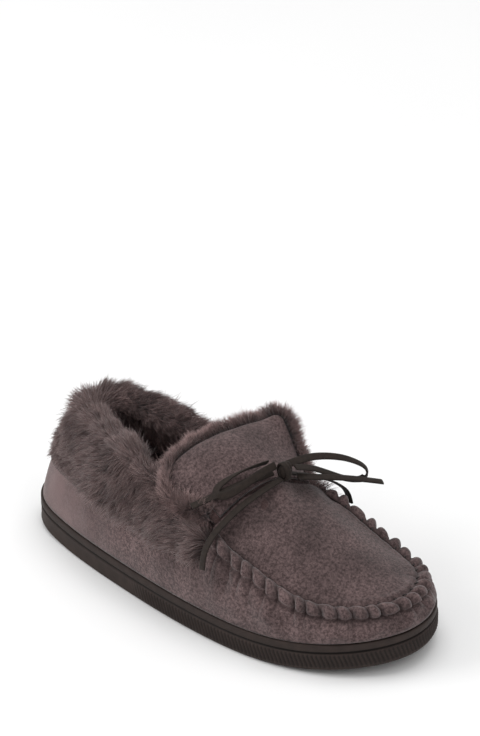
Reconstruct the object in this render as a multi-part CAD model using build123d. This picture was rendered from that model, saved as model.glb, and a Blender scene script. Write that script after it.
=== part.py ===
from build123d import *
import math
import os

# A right-foot moccasin house slipper: rubber unit sole, suede upper, fur lining and cuff, lace bow.
# Axes: +Y to the toe, +X to the wearer's right (the outer side of the foot), +Z up.
# The origin is under the middle of the slipper, on the ground. Millimetres.

# ---------------------------------------------------------------- driving dimensions
SOLE_LENGTH = 267.0          # heel to toe, over the rubber
BALL_WIDTH = 101.0           # widest, over the rubber
SOLE_HEIGHT = 16.0           # side of the unit sole
TOE_SPRING = 8.4             # how far the toe curls off the ground
HEEL_LIFT = 3.4              # how far the back edge of the heel curls up
SOLE_BAND = 4.2              # plain band round the top of the sole's side
GROOVE_WIDTH = 1.4
GROOVE_DEPTH = 1.2
RIM_WIDTH = 10.8             # land that the upper is cemented to
RECESS_DEPTH = 8.0           # tray in the sole, inside the land
TREAD_BAR_PITCH = 9.0
TREAD_BAR_GAP = 2.6
TREAD_DEPTH = 1.8
TREAD_MARGIN = 9.0

BOARD_THICK = 2.0
FOAM_THICK = 5.0
SOCK_THICK = 5.0
SUEDE_THICK = 1.6
LINING_THICK = 5.6           # knitted backing and pressed pile
LINING_LEAN = 0.4            # how far the lining leans in from its foot to the sock's top
LINING_TOP = 0.70            # share of the wall's height that the quarter lining reaches
VAMP_TOP = 0.90              # and the vamp lining
COUNTER_THICK = 1.4
COUNTER_HEIGHT = 34.0
WALL_FOOT = 1.2              # foot of the suede wall, in from the sole's edge
GLUE_GAP = 0.3
SURFACE_TOLERANCE = 0.1      # how near a curved face keeps to its points
FIT_GAP = 0.3
PART_GAP = 0.5               # round anything that moves

HEEL_TOP = 73.0              # height of the suede at the back of the heel
CUFF_BOTTOM = 44.0           # lower edge of the turned-down fur cuff
CUFF_THICK = 3.8
HEEL_LEAN = 12.0             # how far the top of the heel leans forward
CUFF_ROLL = 9.0              # how far the fold stands above the suede
INSTEP_TOP = 93.5            # top edge of the tongue, on its middle line
THROAT_TOP = 77.0            # middle of the upper where the tongue starts
TOE_TOP = 39.0               # height of the toe seam in front

SEAM_INSET = 10.6            # toe seam, in from the sole's edge
ROLL_WIDTH = 7.0             # puckered roll of the toe seam
ROLL_HEIGHT = 6.0
STITCH_THICK = 1.1
STITCH_COUNT = 30

TONGUE_LENGTH = 36.0
TONGUE_BASE_WIDTH = 60.0
TONGUE_TOP_WIDTH = 86.0
TONGUE_CORNER = 13.0
TONGUE_EDGE_FUR = 3.0        # lining that shows past the suede at the tongue's edges

LACE_WIDTH = 4.6             # flat lace, drawn as a round tube of its width
KNOT_LENGTH = 6.4
KNOT_WIDTH = 10.4
KNOT_HEIGHT = 10.4

# The throat is the line across the instep where the tongue starts. It is skewed to the foot.
THROAT_SKEW = 0.15           # how far forward it goes, per unit towards the inner side
THROAT_Y = 29.5              # where it crosses the middle line

# The plan and the upper are set out about this point, which puts the middle of the slipper's box
# over the origin.
MIDDLE_X = -0.8
MIDDLE_Y = 1.5

# Plan of the sole as shares of the ball width and the length, from the heel round the outer side.
PLAN_SHARES = [
    (-0.020, -0.506),
    (0.190, -0.469),
    (0.295, -0.385),
    (0.426, -0.154),
    (0.505, 0.142),
    (0.366, 0.382),
    (-0.040, 0.494),
    (-0.436, 0.416),
    (-0.495, 0.232),
    (-0.356, -0.075),
    (-0.345, -0.375),
    (-0.235, -0.466),
]

BIG = 400.0                  # cutting blocks reach past everything


# ---------------------------------------------------------------- plan and side curves
def plan_curve():
    points = [Vector(MIDDLE_X + x * BALL_WIDTH, along(y), 0) for x, y in PLAN_SHARES]
    return Edge.make_spline(points, periodic=True)


def along(share):
    """A place along the foot, from its share of the sole's length."""
    return MIDDLE_Y + share * SOLE_LENGTH


PLAN = plan_curve()
TOE_START = along(0.15)                # the sole leaves the ground here
HEEL_START = along(-0.30)
TOE_RUN = along(0.494) - TOE_START
HEEL_RUN = HEEL_START - along(-0.506)
TOE_RADIUS = (TOE_RUN ** 2 + TOE_SPRING ** 2) / (2 * TOE_SPRING)
HEEL_RADIUS = (HEEL_RUN ** 2 + HEEL_LIFT ** 2) / (2 * HEEL_LIFT)


def ground_lift(y):
    """Height of the sole's underside above the ground: flat, with an arc at each end."""
    if y > TOE_START:
        return TOE_RADIUS - math.sqrt(TOE_RADIUS ** 2 - (y - TOE_START) ** 2)
    if y < HEEL_START:
        return HEEL_RADIUS - math.sqrt(HEEL_RADIUS ** 2 - (HEEL_START - y) ** 2)
    return 0.0


def side_line(height, reach):
    """The sole's side curve raised by height, in the YZ plane, reach past each end."""
    front = TOE_START + TOE_RUN + reach
    back = HEEL_START - HEEL_RUN - reach
    middle_front = (TOE_START + front) / 2
    middle_back = (HEEL_START + back) / 2

    def point(y):
        return Vector(0, y, height + ground_lift(y))

    return [
        Edge.make_three_point_arc(point(back), point(middle_back), point(HEEL_START)),
        Edge.make_line(point(HEEL_START), point(TOE_START)),
        Edge.make_three_point_arc(point(TOE_START), point(middle_front), point(front)),
    ]


def side_band(low, high):
    """Everything between two heights that follow the sole's side curve."""
    reach = 10.0
    lower = side_line(low, reach)
    upper = side_line(high, reach)
    back = Edge.make_line(lower[0] @ 0, upper[0] @ 0)
    front = Edge.make_line(lower[2] @ 1, upper[2] @ 1)
    face = Face(Wire(lower + [front] + upper + [back]))
    return extrude(face, amount=BIG / 2, dir=(1, 0, 0), both=True)


def plan_face(inset):
    """The plan drawn in by inset, as a smooth closed curve through points set in from it."""
    count = 48
    points = []
    for i in range(count):
        point, out = station(i / count)
        points.append(point - out * inset)
    return Face(Wire([Edge.make_spline(points, periodic=True)]))


def plan_prism(inset):
    """The plan drawn in by inset and raised through everything."""
    return extrude(plan_face(inset), amount=BIG / 2, dir=(0, 0, 1), both=True)


def sole_layer(inset, low, high):
    return plan_prism(inset) & side_band(low, high)


# ---------------------------------------------------------------- the upper's surfaces
def between(value, knots):
    """Smooth reading of a table of (place, size), level past both ends of it."""
    if value <= knots[0][0]:
        return knots[0][1]
    if value >= knots[-1][0]:
        return knots[-1][1]
    slopes = [0.0]
    for before, after in zip(knots, knots[2:]):
        slopes.append((after[1] - before[1]) / (after[0] - before[0]))
    slopes.append(0.0)
    i = max(k for k in range(len(knots) - 1) if knots[k][0] <= value)
    (a, size_a), (b, size_b) = knots[i], knots[i + 1]
    run = b - a
    t = (value - a) / run
    return (
        (2 * t ** 3 - 3 * t ** 2 + 1) * size_a
        + (t ** 3 - 2 * t ** 2 + t) * run * slopes[i]
        + (3 * t ** 2 - 2 * t ** 3) * size_b
        + (t ** 3 - t ** 2) * run * slopes[i + 1]
    )


def solid_between(grid_a, grid_b):
    """Closed solid between two smooth faces through matching grids of points."""
    face_a = Face.make_surface_from_array_of_points(grid_a, tol=SURFACE_TOLERANCE)
    face_b = Face.make_surface_from_array_of_points(grid_b, tol=SURFACE_TOLERANCE)
    rims = zip(face_a.edges(), face_b.edges())
    sides = [Face.make_surface_from_curves(a, b) for a, b in rims]
    sewn = Face.sew_faces([face_a, face_b] + sides)
    return Solid(Shell(sewn[0]))


def throat_place(x, y):
    """Distance forward along the foot, measured square to the skewed throat line."""
    return y + THROAT_SKEW * x


def instep_height(x, y):
    """Top of the apron and tongue: a ridge line that falls to the toe, and its drop half a width out."""
    ridge = between(y, [
        (along(-0.030), INSTEP_TOP),
        (along(0.124), THROAT_TOP),
        (along(0.206), THROAT_TOP - 11.5),
        (along(0.300), TOE_TOP + 14.0),
        (along(0.375), TOE_TOP + 6.5),
        (along(0.457), TOE_TOP + 0.5),
        (along(0.500), TOE_TOP - 1.5),
    ])
    arch = between(y, [
        (along(-0.030), 12.24),
        (along(0.037), 19.13),
        (along(0.124), 29.33),
        (along(0.206), 22.95),
        (along(0.450), 20.40),
    ])
    middle = between(y, [(along(0.124), -1.0), (along(0.457), -5.0)])
    return ridge - arch * ((x - MIDDLE_X - middle) / (BALL_WIDTH / 2)) ** 2


def station(share):
    """A place on the plan and the direction out of it."""
    point = PLAN @ share
    run = PLAN % share
    out = Vector(run.Y, -run.X, 0)
    return point, out


def wall_profile(share):
    """Foot, control point and top of the side wall there, each as inset and height."""
    point, out = station(share)
    foot_z = SOLE_HEIGHT + ground_lift(point.Y) + GLUE_GAP
    place = throat_place(point.X, point.Y)
    throat = THROAT_Y + 6.0
    rear_top = between(place, [
        (along(-0.50), HEEL_TOP),
        (along(-0.30), HEEL_TOP - 1.0),
        (along(-0.19), HEEL_TOP - 3.0),
        (along(-0.09), HEEL_TOP - 8.0),
        (along(-0.02), HEEL_TOP - 13.0),
        (along(0.06), HEEL_TOP - 17.0),
        (throat, HEEL_TOP - 18.0),
    ])
    rear_inset = between(place, [
        (along(-0.50), 13.5),
        (along(-0.19), 11.0),
        (along(-0.02), 9.0),
        (throat, 7.0),
    ])
    seam = point - out * SEAM_INSET
    front_top = instep_height(seam.X, seam.Y) - ROLL_HEIGHT + 1.5
    front_inset = SEAM_INSET - ROLL_WIDTH * 0.65
    mix = between(place, [(throat, 0.0), (throat + 14.0, 1.0)])
    top_z = rear_top + (front_top - rear_top) * mix
    top_inset = rear_inset + (front_inset - rear_inset) * mix
    belly = between(place, [(along(-0.50), 3.0), (along(-0.19), -2.0)])
    control_z = foot_z + 0.55 * (top_z - foot_z)
    return (WALL_FOOT, foot_z), (belly, control_z), (top_inset, top_z)


def wall_frame(share, t):
    """Point on the wall's outer face at t from 0 to 1 up it, with its tangent and inward normal."""
    foot, control, top = wall_profile(share)
    a, b, c = (1 - t) ** 2, 2 * t * (1 - t), t ** 2
    inset = a * foot[0] + b * control[0] + c * top[0]
    height = a * foot[1] + b * control[1] + c * top[1]
    run_inset = 2 * (1 - t) * (control[0] - foot[0]) + 2 * t * (top[0] - control[0])
    run_height = 2 * (1 - t) * (control[1] - foot[1]) + 2 * t * (top[1] - control[1])
    length = math.hypot(run_inset, run_height)
    tangent = (run_inset / length, run_height / length)
    return (inset, height), tangent, (tangent[1], -tangent[0])


def wall_point(share, t, depth, rise=0.0):
    """Point depth inside the wall's outer face, and rise past t along the wall."""
    (inset, height), tangent, inward = wall_frame(share, t)
    inset += inward[0] * depth + tangent[0] * rise
    height += inward[1] * depth + tangent[1] * rise
    point, out = station(share)
    heel = between(point.Y, [(along(-0.506), 1.0), (along(-0.36), 0.45), (along(-0.20), 0.0)])
    lean = HEEL_LEAN * heel * (t ** 1.5 + rise / HEEL_TOP)
    return point - out * inset + Vector(0, lean, height)


def wall_t_at(share, height):
    """How far up the wall a height is reached."""
    foot, control, top = wall_profile(share)
    low, high = 0.0, 1.0
    for _ in range(24):
        middle = (low + high) / 2
        if wall_frame(share, middle)[0][1] < height:
            low = middle
        else:
            high = middle
    return low


def column(share, t_low, t_high, depth, steps):
    """Points up the wall at one depth."""
    return [wall_point(share, t_low + (t_high - t_low) * i / steps, depth) for i in range(steps + 1)]


def wall_layer(shares, low, high, outer, inner):
    """A layer of the upper between two depths; each limit is a function of the place."""
    steps = 4
    outside = [column(k, low(k), high(k), outer(k), steps) for k in shares]
    inside = [column(k, low(k), high(k), inner(k), steps) for k in shares]
    return solid_between(outside, inside)


def share_at(side, place):
    """Where on the plan the throat place is reached: side +1 is the outer side, -1 the inner."""
    low, high = (0.0, 0.5) if side > 0 else (1.0, 0.5)
    for _ in range(30):
        middle = (low + high) / 2
        point = PLAN @ middle
        if throat_place(point.X, point.Y) < place:
            low = middle
        else:
            high = middle
    return (low + high) / 2


def spread(first, last, count):
    return [first + (last - first) * i / (count - 1) for i in range(count)]


def rear_shares(place, count):
    """Places round the heel, from the throat on one side to the throat on the other."""
    first, last = share_at(-1, place) - 1, share_at(1, place)
    return [k % 1.0 for k in spread(first, last, count)]


def front_shares(place, count):
    """Places round the toe, from the outer side to the inner."""
    return spread(share_at(1, place), share_at(-1, place), count)


# ---------------------------------------------------------------- sole and footbed
def make_outsole():
    body = sole_layer(0, 0, SOLE_HEIGHT)
    ring = plan_prism(-5) - plan_prism(GROOVE_DEPTH)
    top_of_groove = SOLE_HEIGHT - SOLE_BAND
    body -= ring & side_band(top_of_groove - GROOVE_WIDTH, top_of_groove)
    body -= sole_layer(RIM_WIDTH, SOLE_HEIGHT - RECESS_DEPTH, SOLE_HEIGHT + 20)
    for slot in tread_grooves():
        body -= slot
    return body


def tread_grooves():
    """Bars across the forefoot and the heel; the waist stays plain."""
    inside = plan_prism(TREAD_MARGIN)
    slots = []
    for first, last in ((along(-0.42), along(-0.17)), (along(0.02), along(0.41))):
        count = int((last - first) / TREAD_BAR_PITCH)
        for i in range(count + 1):
            y = first + i * TREAD_BAR_PITCH
            slots.append(Pos(0, y, ground_lift(y)) * Box(BIG, TREAD_BAR_GAP, 2 * TREAD_DEPTH) & inside)
    return slots


def make_insole_board():
    floor = SOLE_HEIGHT - RECESS_DEPTH + GLUE_GAP
    return sole_layer(RIM_WIDTH + FIT_GAP, floor, floor + BOARD_THICK)


def make_footbed_foam():
    floor = SOLE_HEIGHT - RECESS_DEPTH + BOARD_THICK + 2 * GLUE_GAP
    return sole_layer(RIM_WIDTH + FIT_GAP, floor, floor + FOAM_THICK)


def make_sock_lining():
    floor = SOLE_HEIGHT - RECESS_DEPTH + BOARD_THICK + FOAM_THICK + 3 * GLUE_GAP
    lining_reach = WALL_FOOT + SUEDE_THICK + COUNTER_THICK + 2 * GLUE_GAP + LINING_THICK + LINING_LEAN
    return sole_layer(max(RIM_WIDTH, lining_reach) + FIT_GAP, floor, floor + SOCK_THICK)


# ---------------------------------------------------------------- wall, linings, cuff
BACK_SEAM = 0.002            # share of the way round: the wall's two ends meet at the back of the heel
COUNTER_END = along(-0.24)  # the heel counter reaches this far forward


def make_side_wall():
    shares = spread(BACK_SEAM, 1 - BACK_SEAM, 41)
    return wall_layer(shares, lambda k: 0.0, lambda k: 1.0, lambda k: 0.0, lambda k: SUEDE_THICK)


def make_heel_counter():
    start = SUEDE_THICK + GLUE_GAP
    shares = rear_shares(COUNTER_END, 25)
    return wall_layer(
        shares,
        lambda k: 0.0,
        lambda k: wall_t_at(k, SOLE_HEIGHT + COUNTER_HEIGHT),
        lambda k: start,
        lambda k: start + COUNTER_THICK,
    )


def lining_depth(share):
    """The lining stands in behind the counter at the heel, and near the suede elsewhere."""
    room = COUNTER_THICK + GLUE_GAP
    knots = [(COUNTER_END + 4.0, room), (COUNTER_END + 24.0, 0.0)]
    return SUEDE_THICK + GLUE_GAP + between((PLAN @ share).Y, knots)


def make_quarter_lining():
    return wall_layer(
        rear_shares(THROAT_Y, 41),
        lambda k: 0.0,
        lambda k: LINING_TOP,
        lining_depth,
        lambda k: lining_depth(k) + LINING_THICK,
    )


def make_vamp_lining():
    return wall_layer(
        front_shares(THROAT_Y + 2 * FIT_GAP, 41),
        lambda k: 0.0,
        lambda k: VAMP_TOP,
        lining_depth,
        lambda k: lining_depth(k) + LINING_THICK,
    )


def cuff_sizes(share):
    """Outer thickness, inner depth and fold height of the cuff there; it thins to its front ends."""
    point = PLAN @ share
    place = throat_place(point.X, point.Y)
    thin = between(place, [(along(-0.20), 0.0), (THROAT_Y, 1.0)])
    inner = lining_depth(share) + LINING_THICK * (1 - 0.6 * thin)
    return CUFF_THICK, inner, CUFF_ROLL * (1 - 0.35 * thin)


def cuff_outside(share):
    """Up the cuff's outer face, over the fold and down its inner face."""
    outer, inner, fold = cuff_sizes(share)
    bottom = wall_t_at(share, CUFF_BOTTOM)
    middle = (inner - outer) / 2
    half = (inner + outer) / 2
    over = []
    for degrees in (150, 120, 90, 60, 30):
        angle = math.radians(degrees)
        rise = 1.0 + (fold - 1.0) * math.sin(angle)
        over.append(wall_point(share, 1.0, middle + half * math.cos(angle), rise))
    up = column(share, bottom, 1.0, -outer, 4)
    down = column(share, LINING_TOP + 0.02, 1.0, inner, 2)
    return up + over + down[::-1]


def cuff_inside(share):
    """Up the suede's outer face, over its top edge and down its inner face, clear of it."""
    bottom = wall_t_at(share, CUFF_BOTTOM)
    inner = lining_depth(share) + FIT_GAP
    outer = -2 * FIT_GAP
    middle = (inner + outer) / 2
    half = (inner - outer) / 2
    over = []
    for degrees in (150, 120, 90, 60, 30):
        angle = math.radians(degrees)
        over.append(wall_point(share, 1.0, middle + half * math.cos(angle), 1.6 * math.sin(angle)))
    up = column(share, bottom, 1.0, outer, 4)
    down = column(share, LINING_TOP + 0.02, 1.0, inner, 2)
    return up + over + down[::-1]


def make_collar_cuff():
    shares = rear_shares(THROAT_Y, 45)
    return solid_between([cuff_outside(k) for k in shares], [cuff_inside(k) for k in shares])


# ---------------------------------------------------------------- apron, seam, tongue
def arch_row(y, drop):
    """Points across the instep surface, drop below it."""
    middle, reach, steps = MIDDLE_X - 3.0, BALL_WIDTH * 0.55, 8
    xs = [middle + reach * (2 * i / steps - 1) for i in range(steps + 1)]
    return [Vector(x, y, instep_height(x, y) - drop) for x in xs]


def arch_slab(first_y, last_y, top_drop, thick):
    """A slice of the instep surface from top_drop below it to thick further down."""
    rows = spread(first_y, last_y, 15)
    upper = [arch_row(y, top_drop) for y in rows]
    lower = [arch_row(y, top_drop + thick) for y in rows]
    return solid_between(upper, lower)


def throat_block(place):
    """Everything in front of a line parallel to the throat."""
    angle = -math.degrees(math.atan(THROAT_SKEW))
    return Pos(0, place, 0) * Rot(0, 0, angle) * Pos(0, BIG / 2, 0) * Box(BIG, BIG, BIG)


def make_apron():
    slab = arch_slab(along(0.03), along(0.51), 0.0, SUEDE_THICK)
    return slab & plan_prism(SEAM_INSET + GLUE_GAP) & throat_block(THROAT_Y + PART_GAP)


def make_apron_lining():
    slab = arch_slab(along(0.03), along(0.51), SUEDE_THICK + GLUE_GAP, LINING_THICK)
    inset = SEAM_INSET + SUEDE_THICK + LINING_THICK
    return slab & plan_prism(inset) & throat_block(THROAT_Y + PART_GAP)


def roll_frame(share):
    point, out = station(share)
    seam = point - out * SEAM_INSET
    return seam + Vector(0, 0, instep_height(seam.X, seam.Y)), out


def roll_rows(share):
    """The rounded pucker roll: its top from edge to edge, and the flat that rests on the wall."""
    seam, out = roll_frame(share)
    up = Vector(0, 0, 1)
    low = 1.5 - ROLL_HEIGHT + 3 * GLUE_GAP
    top, flat = [], []
    for i in range(7):
        turn = math.pi * i / 6
        across = ROLL_WIDTH * (1 - math.cos(turn)) / 2
        base = low + 0.3 * math.sin(turn)
        top.append(seam + out * across + up * (base + (ROLL_HEIGHT - 0.8) * math.sin(turn)))
        flat.append(seam + out * across + up * base)
    return top, flat


SEAM_START = THROAT_Y + 11.0


def make_toe_seam_roll():
    rows = [roll_rows(k) for k in front_shares(SEAM_START, 41)]
    return solid_between([top for top, flat in rows], [flat for top, flat in rows])


def make_seam_thread():
    """Whip stitches over the apron's edge, one at each pucker."""
    stitches = []
    for share in front_shares(SEAM_START, STITCH_COUNT + 2)[1:-1]:
        seam, out = roll_frame(share)
        turn = math.degrees(math.atan2(out.Y, out.X))
        bar = Rot(0, 0, turn) * Box(3.2, STITCH_THICK, STITCH_THICK)
        stitches.append(Pos(seam.X, seam.Y, seam.Z + 1.0 + STITCH_THICK / 2 + FIT_GAP) * bar)
    return Compound(children=stitches)


def tongue_outline(extra):
    """Plan of the tongue, wider at its free end, drawn with its base on the throat line."""
    base = TONGUE_BASE_WIDTH / 2 - extra
    tip = TONGUE_TOP_WIDTH / 2 + extra
    back = -TONGUE_LENGTH - extra
    shape = Polyline((-base, 0), (base, 0), (tip, back), (-tip, back), close=True)
    face = make_face(shape)
    tips = face.vertices().sort_by(Axis.Y)[:2]
    return fillet(tips, TONGUE_CORNER + extra)


def tongue_piece(extra, top_drop, thick):
    slab = arch_slab(along(-0.08), along(0.16), top_drop, thick)
    angle = -math.degrees(math.atan(THROAT_SKEW))
    outline = Pos(MIDDLE_X - 2.0, THROAT_Y - PART_GAP, 0) * Rot(0, 0, angle) * tongue_outline(extra)
    return slab & extrude(outline, amount=BIG / 2, dir=(0, 0, 1), both=True)


def make_tongue():
    return tongue_piece(0.0, 0.0, SUEDE_THICK)


def make_tongue_lining():
    return tongue_piece(TONGUE_EDGE_FUR, SUEDE_THICK + GLUE_GAP, LINING_THICK)


# ---------------------------------------------------------------- lace
KNOT_CENTRE = (-7.8, 35.5, 84.0)

# Each stretch of the lace: hand-set points of its middle line.
LACE_ROUTES = {
    "lace_run_outer": [
        (54.0, 29.1, 47.0), (52.4, 28.1, 55.0), (45.7, 28.1, 62.8), (36.7, 29.5, 68.8),
        (25.7, 31.7, 74.6), (12.2, 34.1, 78.8), (-4.2, 36.1, 81.0),
    ],
    "lace_run_inner": [
        (-53.6, 45.1, 47.0), (-52.8, 44.5, 54.0), (-46.8, 42.5, 61.0), (-38.3, 40.5, 67.4),
        (-26.3, 37.9, 74.6), (-11.8, 34.9, 81.0),
    ],
    "lace_loop_outer": [
        (-4.0, 32.1, 88.2), (7.2, 30.5, 88.4), (17.8, 28.5, 86.4), (26.6, 24.9, 85.4), (30.0, 19.9, 85.0),
        (26.2, 15.1, 86.0), (16.8, 14.9, 88.0), (6.2, 18.9, 88.8), (-4.0, 24.1, 88.0),
    ],
    "lace_loop_inner": [
        (-11.4, 35.1, 87.0), (-22.8, 37.9, 87.2), (-34.8, 42.9, 85.0), (-45.8, 49.7, 81.0),
        (-53.2, 57.9, 75.0), (-51.2, 58.5, 68.6), (-42.8, 52.1, 69.4), (-32.8, 46.5, 76.0),
        (-21.8, 42.1, 83.2), (-11.4, 40.5, 87.0),
    ],
    "lace_tail_outer": [
        (-4.0, 30.1, 83.2), (6.2, 27.9, 83.4), (18.2, 24.1, 82.0), (30.2, 19.1, 79.6), (43.8, 12.7, 76.2),
    ],
    "lace_tail_inner": [
        (-12.4, 41.1, 81.0), (-19.8, 46.7, 79.4), (-30.8, 53.5, 76.8), (-42.8, 60.5, 73.2),
        (-54.8, 67.1, 68.4),
    ],
}


def bend_radii(points):
    """The largest tangent arc that each corner of the route leaves room for."""
    radii = []
    for a, b, c in zip(points, points[1:], points[2:]):
        before = Vector(*b) - Vector(*a)
        after = Vector(*c) - Vector(*b)
        half_turn = math.radians(before.get_angle(after)) / 2
        radii.append(0.45 * min(before.length, after.length) / math.tan(half_turn))
    return radii


def make_lace(name):
    points = LACE_ROUTES[name]
    radii = bend_radii(points)
    path = FilletPolyline(*points, radius=radii)
    start = Plane(origin=path @ 0, z_dir=path % 0)
    tube = sweep(start * Circle(LACE_WIDTH / 2), path=path)
    ideal = math.pi * (LACE_WIDTH / 2) ** 2 * path.length
    smallest = min(radii) / LACE_WIDTH
    print(name, "length", round(path.length, 1), "volume share", round(tube.volume / ideal, 4),
          "tightest bend in widths", round(smallest, 2), [round(r, 1) for r in radii])
    return tube


def make_lace_knot():
    angle = -math.degrees(math.atan(THROAT_SKEW))
    block = fillet(Box(KNOT_LENGTH, KNOT_WIDTH, KNOT_HEIGHT).edges(), 1.8)
    return Pos(*KNOT_CENTRE) * Rot(0, 0, angle) * block


# ---------------------------------------------------------------- write the sub-parts
def main():
    os.makedirs("parts", exist_ok=True)
    makers = {
        "outsole": make_outsole,
        "insole_board": make_insole_board,
        "footbed_foam": make_footbed_foam,
        "sock_lining": make_sock_lining,
        "side_wall": make_side_wall,
        "heel_counter": make_heel_counter,
        "quarter_lining": make_quarter_lining,
        "vamp_lining": make_vamp_lining,
        "collar_cuff": make_collar_cuff,
        "apron": make_apron,
        "apron_lining": make_apron_lining,
        "toe_seam_roll": make_toe_seam_roll,
        "seam_thread": make_seam_thread,
        "tongue": make_tongue,
        "tongue_lining": make_tongue_lining,
        "lace_knot": make_lace_knot,
    }
    for name, maker in makers.items():
        export_step(maker(), f"parts/{name}.step")
    for name in LACE_ROUTES:
        export_step(make_lace(name), f"parts/{name}.step")


main()
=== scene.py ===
import math

import bpy
import numpy as np
from mathutils import Matrix, Vector


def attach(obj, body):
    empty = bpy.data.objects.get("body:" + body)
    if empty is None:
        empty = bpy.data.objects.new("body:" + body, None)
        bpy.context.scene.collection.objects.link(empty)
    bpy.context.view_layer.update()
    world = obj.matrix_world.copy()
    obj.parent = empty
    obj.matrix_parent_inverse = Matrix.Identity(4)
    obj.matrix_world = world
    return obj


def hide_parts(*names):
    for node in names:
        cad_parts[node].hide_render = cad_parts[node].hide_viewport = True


bl_info = {
    "name": "Fluffy Moccasin Slipper",
    "version": (1, 0, 0),
    "blender": (4, 5, 0),
    "location": "View3D > Sidebar > Slipper",
    "description": "Builds a suede moccasin house slipper with a fur cuff, a lace bow and a ribbed sole",
    "category": "Add Mesh",
}

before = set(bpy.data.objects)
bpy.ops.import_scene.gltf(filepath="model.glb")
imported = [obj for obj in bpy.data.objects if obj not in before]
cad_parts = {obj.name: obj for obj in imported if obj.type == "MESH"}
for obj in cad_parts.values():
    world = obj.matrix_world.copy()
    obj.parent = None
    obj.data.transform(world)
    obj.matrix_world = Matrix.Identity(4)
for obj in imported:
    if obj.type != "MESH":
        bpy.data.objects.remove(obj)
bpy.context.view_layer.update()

# ---------------------------------------------------------------- sizes shared with the CAD, in mm
MM = 0.001
SOLE_LENGTH, BALL_WIDTH, SOLE_HEIGHT = 267.0, 101.0, 16.0
MIDDLE_X, MIDDLE_Y = -0.8, 1.5
TOE_SPRING, HEEL_LIFT = 8.4, 3.4
SOLE_BAND, GROOVE_WIDTH, GROOVE_DEPTH = 4.2, 1.4, 1.2
RIM_WIDTH, RECESS_DEPTH = 10.8, 8.0
TREAD_PITCH, TREAD_GAP, TREAD_DEPTH, TREAD_MARGIN = 9.0, 2.6, 1.8, 9.0
SOCK_TOP = 20.9
SUEDE, LINING, COUNTER, GLUE = 1.6, 5.6, 1.4, 0.3
HEEL_TOP, CUFF_BOTTOM, CUFF_THICK, CUFF_ROLL, HEEL_LEAN = 73.0, 44.0, 3.8, 9.0, 12.0
INSTEP_TOP, THROAT_TOP, TOE_TOP = 93.5, 77.0, 39.0
SEAM_INSET, ROLL_WIDTH, ROLL_HEIGHT = 10.6, 7.0, 6.0
THROAT_SKEW, THROAT_Y, PART_GAP = 0.15, 29.5, 0.5
TONGUE_LENGTH, TONGUE_BASE, TONGUE_TIP = 36.0, 60.0, 86.0
LINING_TOP, VAMP_TOP = 0.70, 0.90
KNOT = (-7.8, 35.5, 84.0)

PLAN_SHARES = (
    (-0.020, -0.506), (0.190, -0.469), (0.295, -0.385), (0.426, -0.154),
    (0.505, 0.142), (0.366, 0.382), (-0.040, 0.494), (-0.436, 0.416),
    (-0.495, 0.232), (-0.356, -0.075), (-0.345, -0.375), (-0.235, -0.466),
)

LACE_ROUTES = {
    "lace_run_outer": (
        (54.0, 29.1, 47.0), (52.4, 28.1, 55.0), (45.7, 28.1, 62.8), (36.7, 29.5, 68.8),
        (25.7, 31.7, 74.6), (12.2, 34.1, 78.8), (-4.2, 36.1, 81.0),
    ),
    "lace_run_inner": (
        (-53.6, 45.1, 47.0), (-52.8, 44.5, 54.0), (-46.8, 42.5, 61.0), (-38.3, 40.5, 67.4),
        (-26.3, 37.9, 74.6), (-11.8, 34.9, 81.0),
    ),
    "lace_loop_outer": (
        (-4.0, 32.1, 88.2), (7.2, 31.0, 88.0), (17.8, 29.0, 84.8), (27.2, 25.6, 80.8),
        (31.2, 20.6, 79.8), (28.2, 16.2, 81.6), (17.8, 18.6, 85.8), (6.6, 23.8, 88.8), (-4.0, 26.4, 88.0),
    ),
    "lace_loop_inner": (
        (-11.4, 35.1, 87.0), (-22.8, 37.9, 87.2), (-34.8, 42.9, 85.0), (-45.8, 49.7, 81.0),
        (-53.2, 57.9, 75.0), (-51.2, 58.5, 68.6), (-42.8, 52.1, 69.4), (-32.8, 46.5, 76.0),
        (-21.8, 42.1, 83.2), (-11.4, 40.5, 87.0),
    ),
    "lace_tail_outer": (
        (-4.0, 30.1, 83.2), (6.2, 27.9, 83.4), (18.2, 24.1, 82.0), (30.2, 19.1, 79.6),
        (43.8, 12.7, 76.2),
    ),
    "lace_tail_inner": (
        (-12.4, 41.1, 81.0), (-19.8, 46.7, 79.4), (-30.8, 53.5, 76.8), (-42.8, 60.5, 73.2),
        (-54.8, 67.1, 68.4),
    ),
}
# Length of each stretch, and the way its flat side faces at its two ends and its middle.
LACE_FACTS = {
    "lace_run_outer": (0.0727, "object", ((0.9, -0.2, 0.3), (0.6, -0.1, 0.8), (0.1, 0.0, 1.0))),
    "lace_run_inner": (0.0574, "object", ((-0.9, 0.0, 0.3), (-0.6, 0.0, 0.8), (-0.2, 0.1, 1.0))),
    "lace_loop_outer": (0.0751, "object", ((0.1, 0.9, 0.5), (0.9, 0.3, 0.4), (-0.1, -0.8, 0.6))),
    "lace_loop_inner": (0.1043, "object", ((-0.1, 0.6, 0.8), (-0.6, 0.6, 0.4), (0.1, 0.3, 0.9))),
    "lace_tail_outer": (0.0517, "bare", ((0.2, 0.5, 0.8), (0.2, 0.4, 0.9), (0.1, 0.2, 1.0))),
    "lace_tail_inner": (0.0515, "bare", ((-0.2, 0.5, 0.8), (-0.2, 0.4, 0.9), (-0.3, 0.3, 0.9))),
}


# Hairs in each piece of fur beside the cuff's patches
BORDER_HAIRS, COLLAR_HAIRS, QUARTER_HAIRS, SOCK_HAIRS = 11500, 13000, 6000, 5000
LACE_SIDES = 18              # points round a lace's section
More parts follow.
